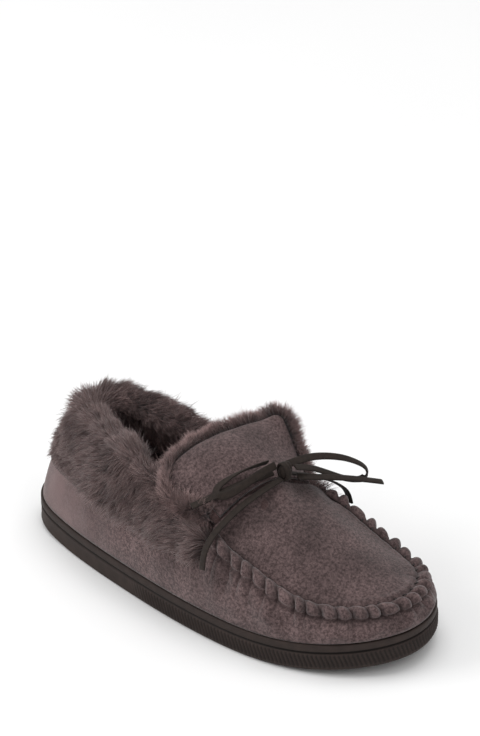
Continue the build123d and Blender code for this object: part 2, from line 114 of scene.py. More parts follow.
# The visible flap is a little longer and wider at its base than the CAD's, and its corners are sharper.
FLAP_LONGER, FLAP_WIDER_OUTER, FLAP_WIDER_INNER, FLAP_TIP_NARROWER = 1.5, 4.0, 1.0, 1.0
FLAP_CORNER_OUTER, FLAP_CORNER_INNER = 6.5, 4.5
BORDER_PAST_FLAP = 2.6       # fleece that shows round the flap
CUFF_SINK, CUFF_SWELL = 3.6, 0.7      # pile under the hair tips, and how uneven it is
CUFF_FOLD_RISE = 4.5         # how much taller the fold stands round the heel
SEAM_EASE = 0.006            # share of the plan over which the gathers start and stop
SUEDE_ROWS, CROWN_ROWS, INSIDE_ROWS = 34, 14, 14
KEY_POWER, SIDE_POWER, TOP_POWER = 8.0, 21.0, 19.0
CAMERA_TURN, CAMERA_RISE, CAMERA_FAR, CAMERA_LENS = 130.7, 32.0, 2.804, 244.1

# ---------------------------------------------------------------- what a user would change
class SlipperSizes(bpy.types.PropertyGroup):
    """Sizes of the visible detail."""

    rib_depth: bpy.props.FloatProperty(
        name="Rib depth", description="How far the sole's side ribs stand out", default=0.0009, unit="LENGTH")
    rib_pitch: bpy.props.FloatProperty(
        name="Rib pitch", description="Distance from one side rib to the next", default=0.0025, unit="LENGTH")
    pucker_count: bpy.props.IntProperty(
        name="Puckers", description="Gathers round the toe seam", default=27, min=8)
    pucker_height: bpy.props.FloatProperty(
        name="Pucker height", description="How far a gather swells", default=0.0031, unit="LENGTH")
    fur_length: bpy.props.FloatProperty(
        name="Fur length", description="Length of a hair on the cuff", default=0.0120, unit="LENGTH")
    hair_width: bpy.props.FloatProperty(
        name="Hair width", description="Width of a lock of hair at its root", default=0.00040, unit="LENGTH")
    hairs_per_patch: bpy.props.IntProperty(
        name="Hairs per patch", description="Locks of hair in each of the cuff's patches",
        default=11000, min=100)
    lace_width: bpy.props.FloatProperty(
        name="Lace width", description="Width of the flat lace", default=0.0046, unit="LENGTH")
    lace_thick: bpy.props.FloatProperty(
        name="Lace thickness", description="Thickness of the flat lace", default=0.0013, unit="LENGTH")
    wrinkle: bpy.props.FloatProperty(
        name="Wrinkle", description="Height of the soft dents in the suede", default=0.0009, unit="LENGTH")


class SlipperColours(bpy.types.PropertyGroup):
    """Colours of the finishes."""

    suede: bpy.props.FloatVectorProperty(
        name="Suede", description="Main colour of the suede", subtype="COLOR",
        default=(0.132, 0.0895, 0.0880))
    fur_root: bpy.props.FloatVectorProperty(
        name="Fur root", description="Colour deep in the fur", subtype="COLOR", default=(0.078, 0.048, 0.046))
    fur_tip: bpy.props.FloatVectorProperty(
        name="Fur tip", description="Colour of the hair tips", subtype="COLOR", default=(0.350, 0.243, 0.232))
    rubber: bpy.props.FloatVectorProperty(
        name="Rubber", description="Colour of the sole", subtype="COLOR", default=(0.0285, 0.0180, 0.0148))
    lace: bpy.props.FloatVectorProperty(
        name="Lace", description="Colour of the lace", subtype="COLOR", default=(0.0185, 0.0125, 0.0098))
    thread: bpy.props.FloatVectorProperty(
        name="Thread", description="Colour of the seam thread", subtype="COLOR",
        default=(0.020, 0.014, 0.0135))


def sizes():
    """The sizes that a user may change, in metres."""
    return bpy.context.scene.slipper_sizes


def colours():
    """The colours that a user may change."""
    return bpy.context.scene.slipper_colours


# ---------------------------------------------------------------- form of the foot
def along(share):
    """A place along the foot, from its share of the sole's length."""
    return MIDDLE_Y + share * SOLE_LENGTH


def closed_spline(points, count):
    """Periodic cubic through the points with the chords as its steps, read evenly along its length."""
    points = np.asarray(points, float)
    n = len(points)
    after = np.roll(points, -1, 0) - points
    step = np.linalg.norm(after, axis=1)
    slope = after / step[:, None]
    back = np.roll(step, 1)
    i = np.arange(n)
    bend = np.zeros((n, n))
    bend[i, i] = 2 * (back + step)
    bend[i, (i - 1) % n] += back
    bend[i, (i + 1) % n] += step
    second = np.linalg.solve(bend, 6 * (slope - np.roll(slope, 1, 0)))
    knots = np.concatenate([[0], np.cumsum(step)])
    u = np.linspace(0, knots[-1], 12001)[:-1]
    k = np.clip(np.searchsorted(knots, u, side="right") - 1, 0, n - 1)
    h, m = step[k][:, None], (k + 1) % n
    b = (u - knots[k])[:, None]
    a = h - b
    line = (
        (second[k] * a ** 3 + second[m] * b ** 3) / (6 * h)
        + (points[k] / h - second[k] * h / 6) * a
        + (points[m] / h - second[m] * h / 6) * b
    )
    closed = np.vstack([line, line[:1]])
    run = np.concatenate([[0], np.cumsum(np.linalg.norm(np.diff(closed, axis=0), axis=1))])
    even = np.linspace(0, run[-1], count + 1)
    return np.stack([np.interp(even, run, closed[:, c]) for c in (0, 1)], 1), run[-1]


PLAN_COUNT = 6000
PLAN_LINE, PLAN_LENGTH = closed_spline(
    [(MIDDLE_X + x * BALL_WIDTH, along(y)) for x, y in PLAN_SHARES], PLAN_COUNT)
PLAN_RUN = np.gradient(PLAN_LINE[:-1], axis=0)
PLAN_RUN = np.vstack([PLAN_RUN, PLAN_RUN[:1]])
PLAN_RUN[0] = PLAN_RUN[-1] = PLAN_LINE[1] - PLAN_LINE[-2]
PLAN_RUN /= np.linalg.norm(PLAN_RUN, axis=1)[:, None]


def station(share):
    """Point on the plan at a share of the way round from the heel, and the direction out of it."""
    place = (np.asarray(share, float) % 1.0) * PLAN_COUNT
    grid = np.arange(PLAN_COUNT + 1)
    x, y = (np.interp(place, grid, PLAN_LINE[:, c]) for c in (0, 1))
    dx, dy = (np.interp(place, grid, PLAN_RUN[:, c]) for c in (0, 1))
    return (x, y), (dy, -dx)


def between(value, knots):
    """Smooth reading of a table of (place, size): cubic pieces, level past both ends."""
    places, levels = np.array(knots, float).T
    slopes = np.zeros(len(places))
    slopes[1:-1] = (levels[2:] - levels[:-2]) / (places[2:] - places[:-2])
    value = np.clip(value, places[0], places[-1])
    i = np.clip(np.searchsorted(places, value, side="right") - 1, 0, len(places) - 2)
    run = places[i + 1] - places[i]
    t = (value - places[i]) / run
    return (
        (2 * t ** 3 - 3 * t ** 2 + 1) * levels[i]
        + (t ** 3 - 2 * t ** 2 + t) * run * slopes[i]
        + (3 * t ** 2 - 2 * t ** 3) * levels[i + 1]
        + (t ** 3 - t ** 2) * run * slopes[i + 1]
    )


def ease(value, start, end):
    """0 before start, 1 after end, and smooth in between."""
    t = np.clip((value - start) / (end - start), 0, 1)
    return t * t * (3 - 2 * t)


TOE_START, HEEL_START = along(0.15), along(-0.30)
TOE_RUN, HEEL_RUN = along(0.494) - TOE_START, HEEL_START - along(-0.506)
TOE_RADIUS = (TOE_RUN ** 2 + TOE_SPRING ** 2) / (2 * TOE_SPRING)
HEEL_RADIUS = (HEEL_RUN ** 2 + HEEL_LIFT ** 2) / (2 * HEEL_LIFT)


def ground_lift(y):
    """Height of the sole's underside: flat, with an arc of a circle at each end."""
    toe = np.clip(y - TOE_START, 0, None)
    heel = np.clip(HEEL_START - y, 0, None)
    return (
        TOE_RADIUS - np.sqrt(TOE_RADIUS ** 2 - toe ** 2)
        + HEEL_RADIUS - np.sqrt(HEEL_RADIUS ** 2 - heel ** 2)
    )


def instep_height(x, y):
    """Top of the apron and tongue: a ridge that falls to the toe, less an arch times the distance squared."""
    ridge = between(y, (
        (along(-0.030), INSTEP_TOP), (along(0.124), THROAT_TOP), (along(0.206), THROAT_TOP - 11.5),
        (along(0.300), TOE_TOP + 14.0), (along(0.375), TOE_TOP + 6.5), (along(0.457), TOE_TOP + 0.5),
        (along(0.500), TOE_TOP - 1.5),
    ))
    arch = between(y, (
        (along(-0.030), 0.0048), (along(0.037), 0.0075), (along(0.124), 0.0115),
        (along(0.206), 0.0090), (along(0.450), 0.0080),
    ))
    middle = between(y, ((along(0.124), -1.0), (along(0.457), -5.0)))
    return ridge - arch * (x - MIDDLE_X - middle) ** 2


def throat_place(x, y):
    """Place along the foot, measured square to the skewed throat line."""
    return y + THROAT_SKEW * x


def front_mix(share):
    """0 round the heel, where the cuff covers the wall's top, and 1 round the gathered toe."""
    (x, y), _ = station(share)
    return between(throat_place(x, y), ((THROAT_Y + 6.0, 0.0), (THROAT_Y + 20.0, 1.0)))


def wall_profile(share):
    """Foot, control point and top of the side wall, each as distance in from the plan and height."""
    (x, y), (ox, oy) = station(share)
    foot_z = SOLE_HEIGHT + ground_lift(y) + GLUE
    place = throat_place(x, y)
    throat = THROAT_Y + 6.0
    rear_top = between(place, (
        (along(-0.50), HEEL_TOP), (along(-0.30), HEEL_TOP - 1.0), (along(-0.19), HEEL_TOP - 3.0),
        (along(-0.09), HEEL_TOP - 8.0), (along(-0.02), HEEL_TOP - 13.0), (along(0.06), HEEL_TOP - 17.0),
        (throat, HEEL_TOP - 18.0),
    ))
    rear_inset = between(place, (
        (along(-0.50), 13.5), (along(-0.19), 11.0), (along(-0.02), 9.0), (throat, 7.0)))
    front_top = instep_height(x - ox * SEAM_INSET, y - oy * SEAM_INSET) - ROLL_HEIGHT + 1.5
    front_inset = SEAM_INSET - ROLL_WIDTH * 0.65
    mix = between(place, ((throat, 0.0), (throat + 14.0, 1.0)))
    top_z = rear_top + (front_top - rear_top) * mix
    top_inset = rear_inset + (front_inset - rear_inset) * mix
    belly = between(place, ((along(-0.50), 3.0), (along(-0.19), -2.0)))
    return (1.2, foot_z), (belly, foot_z + 0.55 * (top_z - foot_z)), (top_inset, top_z)


def wall_point(share, t, depth, rise=0.0):
    """Point on the wall: a quadratic curve up it at t, then depth inwards and rise further along."""
    share, t, depth, rise = np.broadcast_arrays(share, t, depth, rise)
    foot, control, top = wall_profile(share)
    a, b, c = (1 - t) ** 2, 2 * t * (1 - t), t ** 2
    inset = a * foot[0] + b * control[0] + c * top[0]
    height = a * foot[1] + b * control[1] + c * top[1]
    run_in = 2 * (1 - t) * (control[0] - foot[0]) + 2 * t * (top[0] - control[0])
    run_up = 2 * (1 - t) * (control[1] - foot[1]) + 2 * t * (top[1] - control[1])
    length = np.hypot(run_in, run_up)
    run_in, run_up = run_in / length, run_up / length
    inset = inset + run_up * depth + run_in * rise
    height = height - run_in * depth + run_up * rise
    (x, y), (ox, oy) = station(share)
    heel = between(y, ((along(-0.506), 1.0), (along(-0.36), 0.45), (along(-0.20), 0.0)))
    lean = HEEL_LEAN * heel * (t ** 1.5 + rise / HEEL_TOP)
    return np.stack([x - ox * inset, y - oy * inset + lean, height], -1)


def wall_t_at(share, height):
    """How far up the wall a height is reached, by halving."""
    foot, control, top = wall_profile(share)
    low, high = np.zeros(np.shape(share)), np.ones(np.shape(share))
    for _ in range(22):
        t = (low + high) / 2
        z = (1 - t) ** 2 * foot[1] + 2 * t * (1 - t) * control[1] + t ** 2 * top[1]
        low, high = np.where(z < height, t, low), np.where(z < height, high, t)
    return low


def share_at(side, place):
    """Where round the plan a throat place is reached: side +1 is the outer side, -1 the inner."""
    low, high = (0.0, 0.5) if side > 0 else (1.0, 0.5)
    for _ in range(40):
        middle = (low + high) / 2
        (x, y), _ = station(middle)
        low, high = (middle, high) if throat_place(x, y) < place else (low, middle)
    return (low + high) / 2


SEAM_FIRST, SEAM_LAST = share_at(1, THROAT_Y + 5.0), share_at(-1, THROAT_Y + 5.0)
THROAT_FIRST, THROAT_LAST = share_at(1, THROAT_Y), share_at(-1, THROAT_Y)


def lining_depth(share):
    """The lining stands in behind the heel counter, and near the suede elsewhere."""
    (_, y), _ = station(share)
    room = between(y, ((along(-0.24) + 4.0, COUNTER + GLUE), (along(-0.24) + 24.0, 0.0)))
    return SUEDE + GLUE + room


def ripple(points, scale, seed, waves=9):
    """Soft irregular height, -1 to 1: a sum of sines in random directions, the longer ones stronger."""
    rng = np.random.default_rng(seed)
    total = 0.0
    for k in range(waves):
        way = rng.normal(size=3)
        way *= (0.6 + 0.28 * k) * 2 * math.pi / scale / np.linalg.norm(way)
        total = total + np.sin(points @ way + rng.uniform(0, 6.28)) / (1 + 0.5 * k)
    return total / 2.4


# ---------------------------------------------------------------- meshes
def grid_faces(rows, columns, wrap_rows=False, wrap_columns=False):
    """Four-sided faces of a grid of points, joined up round either way if asked."""
    r = np.arange(rows if wrap_rows else rows - 1)[:, None]
    c = np.arange(columns if wrap_columns else columns - 1)[None, :]
    r2, c2 = (r + 1) % rows, (c + 1) % columns
    corners = (r * columns + c, r * columns + c2, r2 * columns + c2, r2 * columns + c)
    return np.stack(np.broadcast_arrays(*corners), -1).reshape(-1, 4)


def fan_faces(ring, pole):
    """Triangles from a closed ring of point numbers to one point."""
    ring = np.asarray(ring)
    return np.stack([ring, np.roll(ring, -1), np.full(len(ring), pole)], -1)


def slab_faces(rows, columns):
    """Faces of rings of points, one ring to a row, and a fan that closes each end."""
    last = rows * columns
    return [
        grid_faces(rows, columns, False, True),
        fan_faces(np.arange(columns)[::-1], last),
        fan_faces(np.arange(columns) + (rows - 1) * columns, last + 1),
    ]


def signed_volume(points, faces):
    """Six times the volume inside the faces: a triple product for each triangle, added up."""
    total = 0.0
    for face in faces:
        a, b = points[face[:, 0]], points[face[:, 1]]
        for k in range(2, face.shape[1]):
            c = points[face[:, k]]
            total += np.einsum("ij,ij->i", a, np.cross(b, c)).sum()
            b = c
    return total


def put_mesh(name, points, faces, material, attributes=None):
    """Object of that name from points in millimetres and arrays of faces, turned to face outwards."""
    points = np.asarray(points, float).reshape(-1, 3)
    faces = [np.asarray(f) for f in faces if len(f)]
    if signed_volume(points - points.mean(0), faces) < 0:
        faces = [f[:, ::-1] for f in faces]
    loops = np.concatenate([f.ravel() for f in faces])
    counts = np.concatenate([np.full(len(f), f.shape[1]) for f in faces])
    mesh = bpy.data.meshes.new(name)
    mesh.vertices.add(len(points))
    mesh.vertices.foreach_set("co", (points * MM).ravel())
    mesh.loops.add(len(loops))
    mesh.loops.foreach_set("vertex_index", loops.astype(np.int32))
    mesh.polygons.add(len(counts))
    starts = np.concatenate([[0], np.cumsum(counts)[:-1]]).astype(np.int32)
    mesh.polygons.foreach_set("loop_start", starts)
    mesh.update(calc_edges=True)
    mesh.polygons.foreach_set("use_smooth", np.ones(len(counts), bool))
    for key, values in (attributes or {}).items():
        layer = mesh.attributes.new(key, "FLOAT", "POINT")
        layer.data.foreach_set("value", np.asarray(values, np.float32).ravel())
    mesh.validate()
    obj = bpy.data.objects.new(name, mesh)
    bpy.context.scene.collection.objects.link(obj)
    mesh.materials.append(material)
    return obj


def put_slab(name, grid, material, attributes=None):
    """Mesh of rings of points, one ring to a row, closed at the middle of each end ring."""
    points = np.vstack([grid.reshape(-1, 3), grid[0].mean(0), grid[-1].mean(0)])
    return put_mesh(name, points, slab_faces(*grid.shape[:2]), material, attributes)


def capped(name, loop, material):
    """Mesh of rings of points, one ring to a column, closed at the middle of each end ring."""
    rows, columns = loop.shape[:2]
    last = rows * columns
    points = np.vstack([loop.reshape(-1, 3), loop[:, 0].mean(0), loop[:, -1].mean(0)])
    faces = [
        grid_faces(rows, columns, True, False),
        fan_faces(np.arange(rows) * columns, last),
        fan_faces((np.arange(rows) * columns + columns - 1)[::-1], last + 1),
    ]
    return put_mesh(name, points, faces, material)


def stand_for(pieces, body, slot, *nodes):
    """The pieces move with the body and are seen instead of the CAD nodes; slot is not used."""
    for piece in pieces:
        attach(piece, body)
        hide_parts(*nodes)


def smooth_rows(knots, rows):
    """Rows along the second-last axis, on a curve through the given rows."""
    count = knots.shape[-2]
    v = np.linspace(0, count - 1, rows)
    i = np.minimum(v.astype(int), count - 2)
    t = (v - i)[:, None]
    p0, p1 = knots[..., np.maximum(i - 1, 0), :], knots[..., i, :]
    p2, p3 = knots[..., i + 1, :], knots[..., np.minimum(i + 2, count - 1), :]
    square, cube = 2 * p0 - 5 * p1 + 4 * p2 - p3, 3 * p1 - p0 - 3 * p2 + p3
    return 0.5 * (2 * p1 + (p2 - p0) * t + square * t ** 2 + cube * t ** 3)


def unit(vectors):
    """The vectors divided by their lengths."""
    return vectors / np.maximum(np.linalg.norm(vectors, axis=-1, keepdims=True), 1e-9)


def turned(grid, centre, sense=1):
    """The grid, its columns reversed if need be: normals point away from centre, or to it for -1."""
    away = ((grid - centre) * grid_normals(grid)).sum() * sense > 0
    return grid if away else grid[:, ::-1]


def grid_normals(grid):
    """Normals of a grid of points, square to its rows and its columns."""
    return unit(np.cross(np.gradient(grid, axis=0), np.gradient(grid, axis=1)))


# ---------------------------------------------------------------- finishes
def new_finish(name, roughness, sheen=0.0, specular=0.35):
    """An empty surface finish, with the numbers that are the same all over it."""
    material = bpy.data.materials.new(name)
    material.use_nodes = True
    tree = material.node_tree
    shader = next(n for n in tree.nodes if n.type == "BSDF_PRINCIPLED")
    shader.inputs["Roughness"].default_value = roughness
    shader.inputs["Sheen Weight"].default_value = sheen
    shader.inputs["Sheen Roughness"].default_value = 0.45
    shader.inputs["Specular IOR Level"].default_value = specular
    return material, tree, shader


def noise(tree, scale, detail=4.0, rough=0.55, stretch=None):
    """Noise on the object's own coordinates; scale is in repeats per metre."""
    place = tree.nodes.new("ShaderNodeTexCoord").outputs["Object"]
    if stretch:
        mapping = tree.nodes.new("ShaderNodeMapping")
        mapping.inputs["Scale"].default_value = stretch
        tree.links.new(place, mapping.inputs["Vector"])
        place = mapping.outputs["Vector"]
    node = tree.nodes.new("ShaderNodeTexNoise")
    node.inputs["Scale"].default_value = scale
    node.inputs["Detail"].default_value = detail
    node.inputs["Roughness"].default_value = rough
    tree.links.new(place, node.inputs["Vector"])
    return node.outputs["Fac"]


def attribute(tree, name):
    """A value read from the mesh's own attribute."""
    node = tree.nodes.new("ShaderNodeAttribute")
    node.attribute_name = name
    return node.outputs["Fac"]


def ramp(tree, value, stops):
    """Colour from a value, by stops of (place, colour)."""
    node = tree.nodes.new("ShaderNodeValToRGB")
    edge = node.color_ramp
    while len(edge.elements) < len(stops):
        edge.elements.new(0.5)
    for element, (place, colour) in zip(edge.elements, stops):
        element.position = place
        element.color = (*colour, 1.0)
    tree.links.new(value, node.inputs["Fac"])
    return node.outputs["Color"]


def mix_colour(tree, factor, a, b, blend="MIX"):
    """Two colours mixed by a factor; each of the three is a socket or a constant."""
    node = tree.nodes.new("ShaderNodeMix")
    node.data_type = "RGBA"
    node.blend_type = blend
    for socket, value in ((node.inputs[0], factor), (node.inputs[6], a), (node.inputs[7], b)):
        if isinstance(value, bpy.types.NodeSocket):
            tree.links.new(value, socket)
        elif isinstance(value, (int, float)):
            socket.default_value = value
        else:
            socket.default_value = (*value, 1.0)
    return node.outputs[2]


def maths(tree, operation, a, b=0.0):
    """A sum, product or other operation on two values, each a socket or a constant."""
    node = tree.nodes.new("ShaderNodeMath")
    node.operation = operation
    for socket, value in zip(node.inputs, (a, b)):
        if isinstance(value, bpy.types.NodeSocket):
            tree.links.new(value, socket)
        else:
            socket.default_value = value
    return node.outputs[0]


def bump(tree, shader, height, strength, distance):
    """Fine relief in the shading, as high as distance in metres."""
    node = tree.nodes.new("ShaderNodeBump")
    node.inputs["Strength"].default_value = strength
    node.inputs["Distance"].default_value = distance
    tree.links.new(height, node.inputs["Height"])
    tree.links.new(node.outputs["Normal"], shader.inputs["Normal"])


def tone(colour, level):
    """A colour made lighter or darker, by one factor for red, green and blue."""
    return tuple(min(1.0, c * level) for c in colour)


def suede_finish(name, level):
    """Brushed suede: broad patches where the nap lies over, fine mottling, painted light on the outer heel
    side and painted shade in the creases.
    """
    # level makes a lighter or darker copy of the suede for each part: painted light and shade.
    base = colours().suede
    material, tree, shader = new_finish(name, 0.92, sheen=0.25, specular=0.15)
    patches = ramp(tree, noise(tree, 42.0, 5.0, 0.6), (
        (0.32, tone(base, 0.68 * level)), (0.52, tone(base, 1.0 * level)), (0.70, tone(base, 1.30 * level))))
    nap = ramp(tree, noise(tree, 620.0, 4.0, 0.8), ((0.40, (0.36, 0.35, 0.35)), (0.60, (1.06, 1.06, 1.06))))
    colour = mix_colour(tree, 1.0, patches, nap, "MULTIPLY")
    # Painted light: the outer heel side made paler, for the light falling on it and the nap's sheen there.
    painted_heel_sheen = maths(tree, "MULTIPLY", attribute(tree, "painted_heel_sheen"), 0.8)
    colour = mix_colour(tree, painted_heel_sheen, colour, tone(base, 1.35 * level))
    # Painted shade: darker in the creases, hollows and joins.
    painted_shade = attribute(tree, "painted_shade")
    colour = mix_colour(tree, painted_shade, colour, tone(base, 0.34 * level))
    tree.links.new(colour, shader.inputs["Base Color"])
    bump(tree, shader, noise(tree, 1300.0, 4.0, 0.7), 0.5, 0.0005)
    return material


def fur_finish(name, level, root_level=1.0):
    """Hair: dark at the root, pale at the tip, each lock its own shade, in soft patches."""
    root, tip = colours().fur_root, colours().fur_tip
    material, tree, shader = new_finish(name, 0.72, sheen=0.2, specular=0.25)
    length = attribute(tree, "along_hair")
    colour = ramp(tree, length, (
        (0.0, tone(root, root_level * level)),
        (0.55, tone([(a + b) / 2 for a, b in zip(root, tip)], 0.8 * level)),
        (1.0, tone(tip, level))))
    shade = ramp(tree, attribute(tree, "shade"), ((0.0, (0.34, 0.32, 0.32)), (0.85, (1.0, 1.0, 1.0))))
    colour = mix_colour(tree, 1.0, colour, shade, "MULTIPLY")
    patch = ramp(tree, noise(tree, 60.0, 3.0), ((0.35, (0.66, 0.64, 0.64)), (0.62, (1.05, 1.04, 1.04))))
    colour = mix_colour(tree, 1.0, colour, patch, "MULTIPLY")
    tree.links.new(colour, shader.inputs["Base Color"])
    return material


def pile_finish(name, level):
    """The matted pile under the hairs: knots of light and dark."""
    root, tip = colours().fur_root, colours().fur_tip
    material, tree, shader = new_finish(name, 0.9, sheen=0.2, specular=0.1)
    tufts = ramp(tree, noise(tree, 420.0, 5.0, 0.75), (
        (0.30, tone(root, 0.5 * level)), (0.55, tone(root, 1.1 * level)),
        (0.80, tone([(a + b) / 2 for a, b in zip(root, tip)], level))))
    tree.links.new(tufts, shader.inputs["Base Color"])
    bump(tree, shader, noise(tree, 420.0, 5.0, 0.75), 0.8, 0.0015)
    return material


def rubber_finish():
    """Moulded rubber: dull, faintly mottled, with painted shade in the low places."""
    base = colours().rubber
    material, tree, shader = new_finish("rubber_sole", 0.68, specular=0.28)
    colour = ramp(tree, noise(tree, 160.0, 5.0), ((0.35, tone(base, 0.85)), (0.7, tone(base, 1.2))))
    # Painted shade in the groove, between the ribs and in the tread's grooves.
    colour = mix_colour(tree, attribute(tree, "painted_shade"), colour, tone(base, 0.35))
    tree.links.new(colour, shader.inputs["Base Color"])
    bump(tree, shader, noise(tree, 1800.0, 3.0), 0.2, 0.0003)
    return material


def lace_finish():
    """Flat lace: fine grain, mottling, and edges a little darker."""
    base = colours().lace
    material, tree, shader = new_finish("flat_lace", 0.7, sheen=0.05, specular=0.2)
    colour = ramp(tree, noise(tree, 500.0, 4.0, 0.65), ((0.3, tone(base, 0.75)), (0.7, tone(base, 1.45))))
    colour = mix_colour(tree, attribute(tree, "edge"), colour, tone(base, 0.45))
    tree.links.new(colour, shader.inputs["Base Color"])
    bump(tree, shader, noise(tree, 2600.0, 3.0, 0.6), 0.3, 0.0003)
    return material


def thread_finish():
    """Waxed thread, mottled light and dark."""
    base = colours().thread
    material, tree, shader = new_finish("seam_thread", 0.6, specular=0.4)
    colour = ramp(tree, noise(tree, 1400.0, 2.0), ((0.35, tone(base, 0.6)), (0.65, tone(base, 1.5))))
    tree.links.new(colour, shader.inputs["Base Color"])
    bump(tree, shader, noise(tree, 2200.0, 2.0), 0.5, 0.0003)
    return material


def board_finish():
    """Pressed fibre board."""
    material, tree, shader = new_finish("fibre_board", 0.85, specular=0.2)
    fibres = noise(tree, 300.0, 6.0, 0.7, stretch=(1.0, 0.25, 1.0))
    tree.links.new(ramp(tree, fibres, ((0.3, (0.20, 0.13, 0.08)), (0.7, (0.34, 0.24, 0.15)))),
                   shader.inputs["Base Color"])
    bump(tree, shader, fibres, 0.3, 0.0004)
    return material


def foam_finish():
    """Open-cell foam: pale, pitted with small dark cells."""
    material, tree, shader = new_finish("footbed_foam", 0.95, specular=0.1)
    cells = tree.nodes.new("ShaderNodeTexVoronoi")
    cells.inputs["Scale"].default_value = 900.0
    tree.links.new(tree.nodes.new("ShaderNodeTexCoord").outputs["Object"], cells.inputs["Vector"])
    pits = ramp(tree, cells.outputs["Distance"], ((0.1, (0.52, 0.48, 0.38)), (0.6, (0.80, 0.76, 0.64))))
    tree.links.new(pits, shader.inputs["Base Color"])
    bump(tree, shader, cells.outputs["Distance"], 0.4, 0.0005)
    return material


def finish_of(name, maker):
    """The finish of that name, made the first time that it is asked for."""
    return bpy.data.materials.get(name) or maker()


def pile():
    """The finish of every matted pile."""
    return finish_of("matted_pile", lambda: pile_finish("matted_pile", 1.0))


def inner_hair():
    """The finish of the hairs inside the slipper, lighter for the shade that they stand in."""
    return finish_of("fur_inner", lambda: fur_finish("fur_inner", 2.1))


# ---------------------------------------------------------------- fur
def hair_size():
    """Length and width of a hair in millimetres."""
    return sizes().fur_length / MM, sizes().hair_width / MM


def scatter(grid, count, rng, weight=None):
    """Roots spread by area over a grid of points: their places, normals and directions along both ways."""
    a, b = grid[1:, :-1] - grid[:-1, :-1], grid[:-1, 1:] - grid[:-1, :-1]
    area = np.linalg.norm(np.cross(a, b), axis=-1)
    if weight is not None:
        area = area * weight[:-1, :-1]
    cell = rng.choice(area.size, size=count, p=(area / area.sum()).ravel())
    r, c = np.unravel_index(cell, area.shape)
    u, v = rng.random(count)[:, None], rng.random(count)[:, None]
    place = (
        grid[r, c] * (1 - u) * (1 - v) + grid[r + 1, c] * u * (1 - v)
        + grid[r, c + 1] * (1 - u) * v + grid[r + 1, c + 1] * u * v
    )
    normals = grid_normals(grid)[r, c]
    return place, normals, unit(a[r, c]), unit(b[r, c])


def gather(place, ends, size, pull, rng):
    """Hairs whose roots share a cell of that size lean to one another, so that they stand in locks."""
    keys = np.floor(place / size + 0.35 * np.sin(place[:, ::-1] * 1.7 / size)).astype(np.int64)
    keys = keys[:, 0] * 73856093 ^ keys[:, 1] * 19349663 ^ keys[:, 2] * 83492791
    _, lock = np.unique(keys, return_inverse=True)
    count = np.bincount(lock)
    middle = np.stack([np.bincount(lock, ends[:, k]) / count for k in range(3)], 1)
    sway = rng.normal(size=(len(count), 3)) * 0.25 * size
    return ends + (middle[lock] - ends) * pull + sway[lock], lock


def hair_mesh(name, place, rise, ends, width, material, rng, lock, fine=True):
    """Closed three-sided hairs: each a curve that leaves its root along rise and bends to its end."""
    stops = np.array([0.0, 0.38, 0.74]) if fine else np.array([0.0, 0.55])
    thick = np.array([1.0, 0.85, 0.5]) if fine else np.array([1.0, 0.7])
    n = len(place)
    bend = place + rise
    s = stops[None, :, None]
    line = place[:, None] * (1 - s) ** 2 + bend[:, None] * 2 * s * (1 - s) + ends[:, None] * s ** 2
    way = unit(ends - place)
    side = unit(np.cross(way, rng.normal(size=(n, 3))))
    other = np.cross(way, side)
    turn = np.arange(3) * 2 * math.pi / 3
    ring = side[:, None] * np.cos(turn)[None, :, None] + other[:, None] * np.sin(turn)[None, :, None]
    size = width * (0.75 + 0.5 * rng.random(n)) / 2
    body = line[:, :, None] + ring[:, None] * (size[:, None] * thick[None])[:, :, None, None]
    rings = len(stops)
    per = rings * 3 + 1
    points = np.concatenate([body.reshape(n, rings * 3, 3), ends[:, None]], 1).reshape(-1, 3)
    one_quads = grid_faces(rings, 3, wrap_columns=True)
    one_tris = np.vstack([fan_faces(np.arange(3) + (rings - 1) * 3, rings * 3), [[2, 1, 0]]])
    first = (np.arange(n) * per)[:, None, None]
    quads = (one_quads[None] + first).reshape(-1, 4)
    tris = (one_tris[None] + first).reshape(-1, 3)
    lengthways = np.tile(np.append(np.repeat(stops, 3), 1.0), n)
    tint = rng.random(lock.max() + 1)[lock] * 0.45 + rng.random(n) * 0.55
    return put_mesh(name, points, [quads, tris], material,
                    {"along_hair": lengthways, "shade": np.repeat(tint, per)})


def grow_fur(name, grid, count, length, width, lay, lift, material, seed, weight=None, fine=True,
             size=2.8, pull=0.34, longer=None):
    """Fur on a grid: hairs rise off the surface and lie over along lay, which mixes the grid's two ways.

    Roots are spread by area, or by weight; a hair's reach varies by chance and, with longer, by its place.
    Neighbours within size lean together by the share pull.
    """
    rng = np.random.default_rng(seed)
    place, normals, one, two = scatter(grid, count, rng, weight)
    swirl = ripple(place, 42.0, seed + 1)[:, None]
    unruly = rng.normal(size=place.shape) * 0.22
    over = unit(lay[0] * one + lay[1] * two + 0.75 * swirl * two + unruly)
    reach = length * (0.72 + 0.42 * rng.random(count))[:, None]
    reach = reach * (1.0 + 0.18 * ripple(place, 17.0, seed + 2)[:, None])
    if longer is not None:
        reach = reach * longer(place)[:, None]
    ends = place + reach * unit(normals * lift + over)
    stray = rng.random(count)[:, None] < 0.07
    ends = ends + stray * reach * (0.35 * unit(rng.normal(size=place.shape)) + 0.2 * normals)
    ends, lock = gather(place, ends, size, pull, rng)
    rise = normals * reach * 0.45 + over * reach * 0.12
    place = place - normals * 0.8
    return hair_mesh(name, place, rise, ends, width, material, rng, lock, fine)


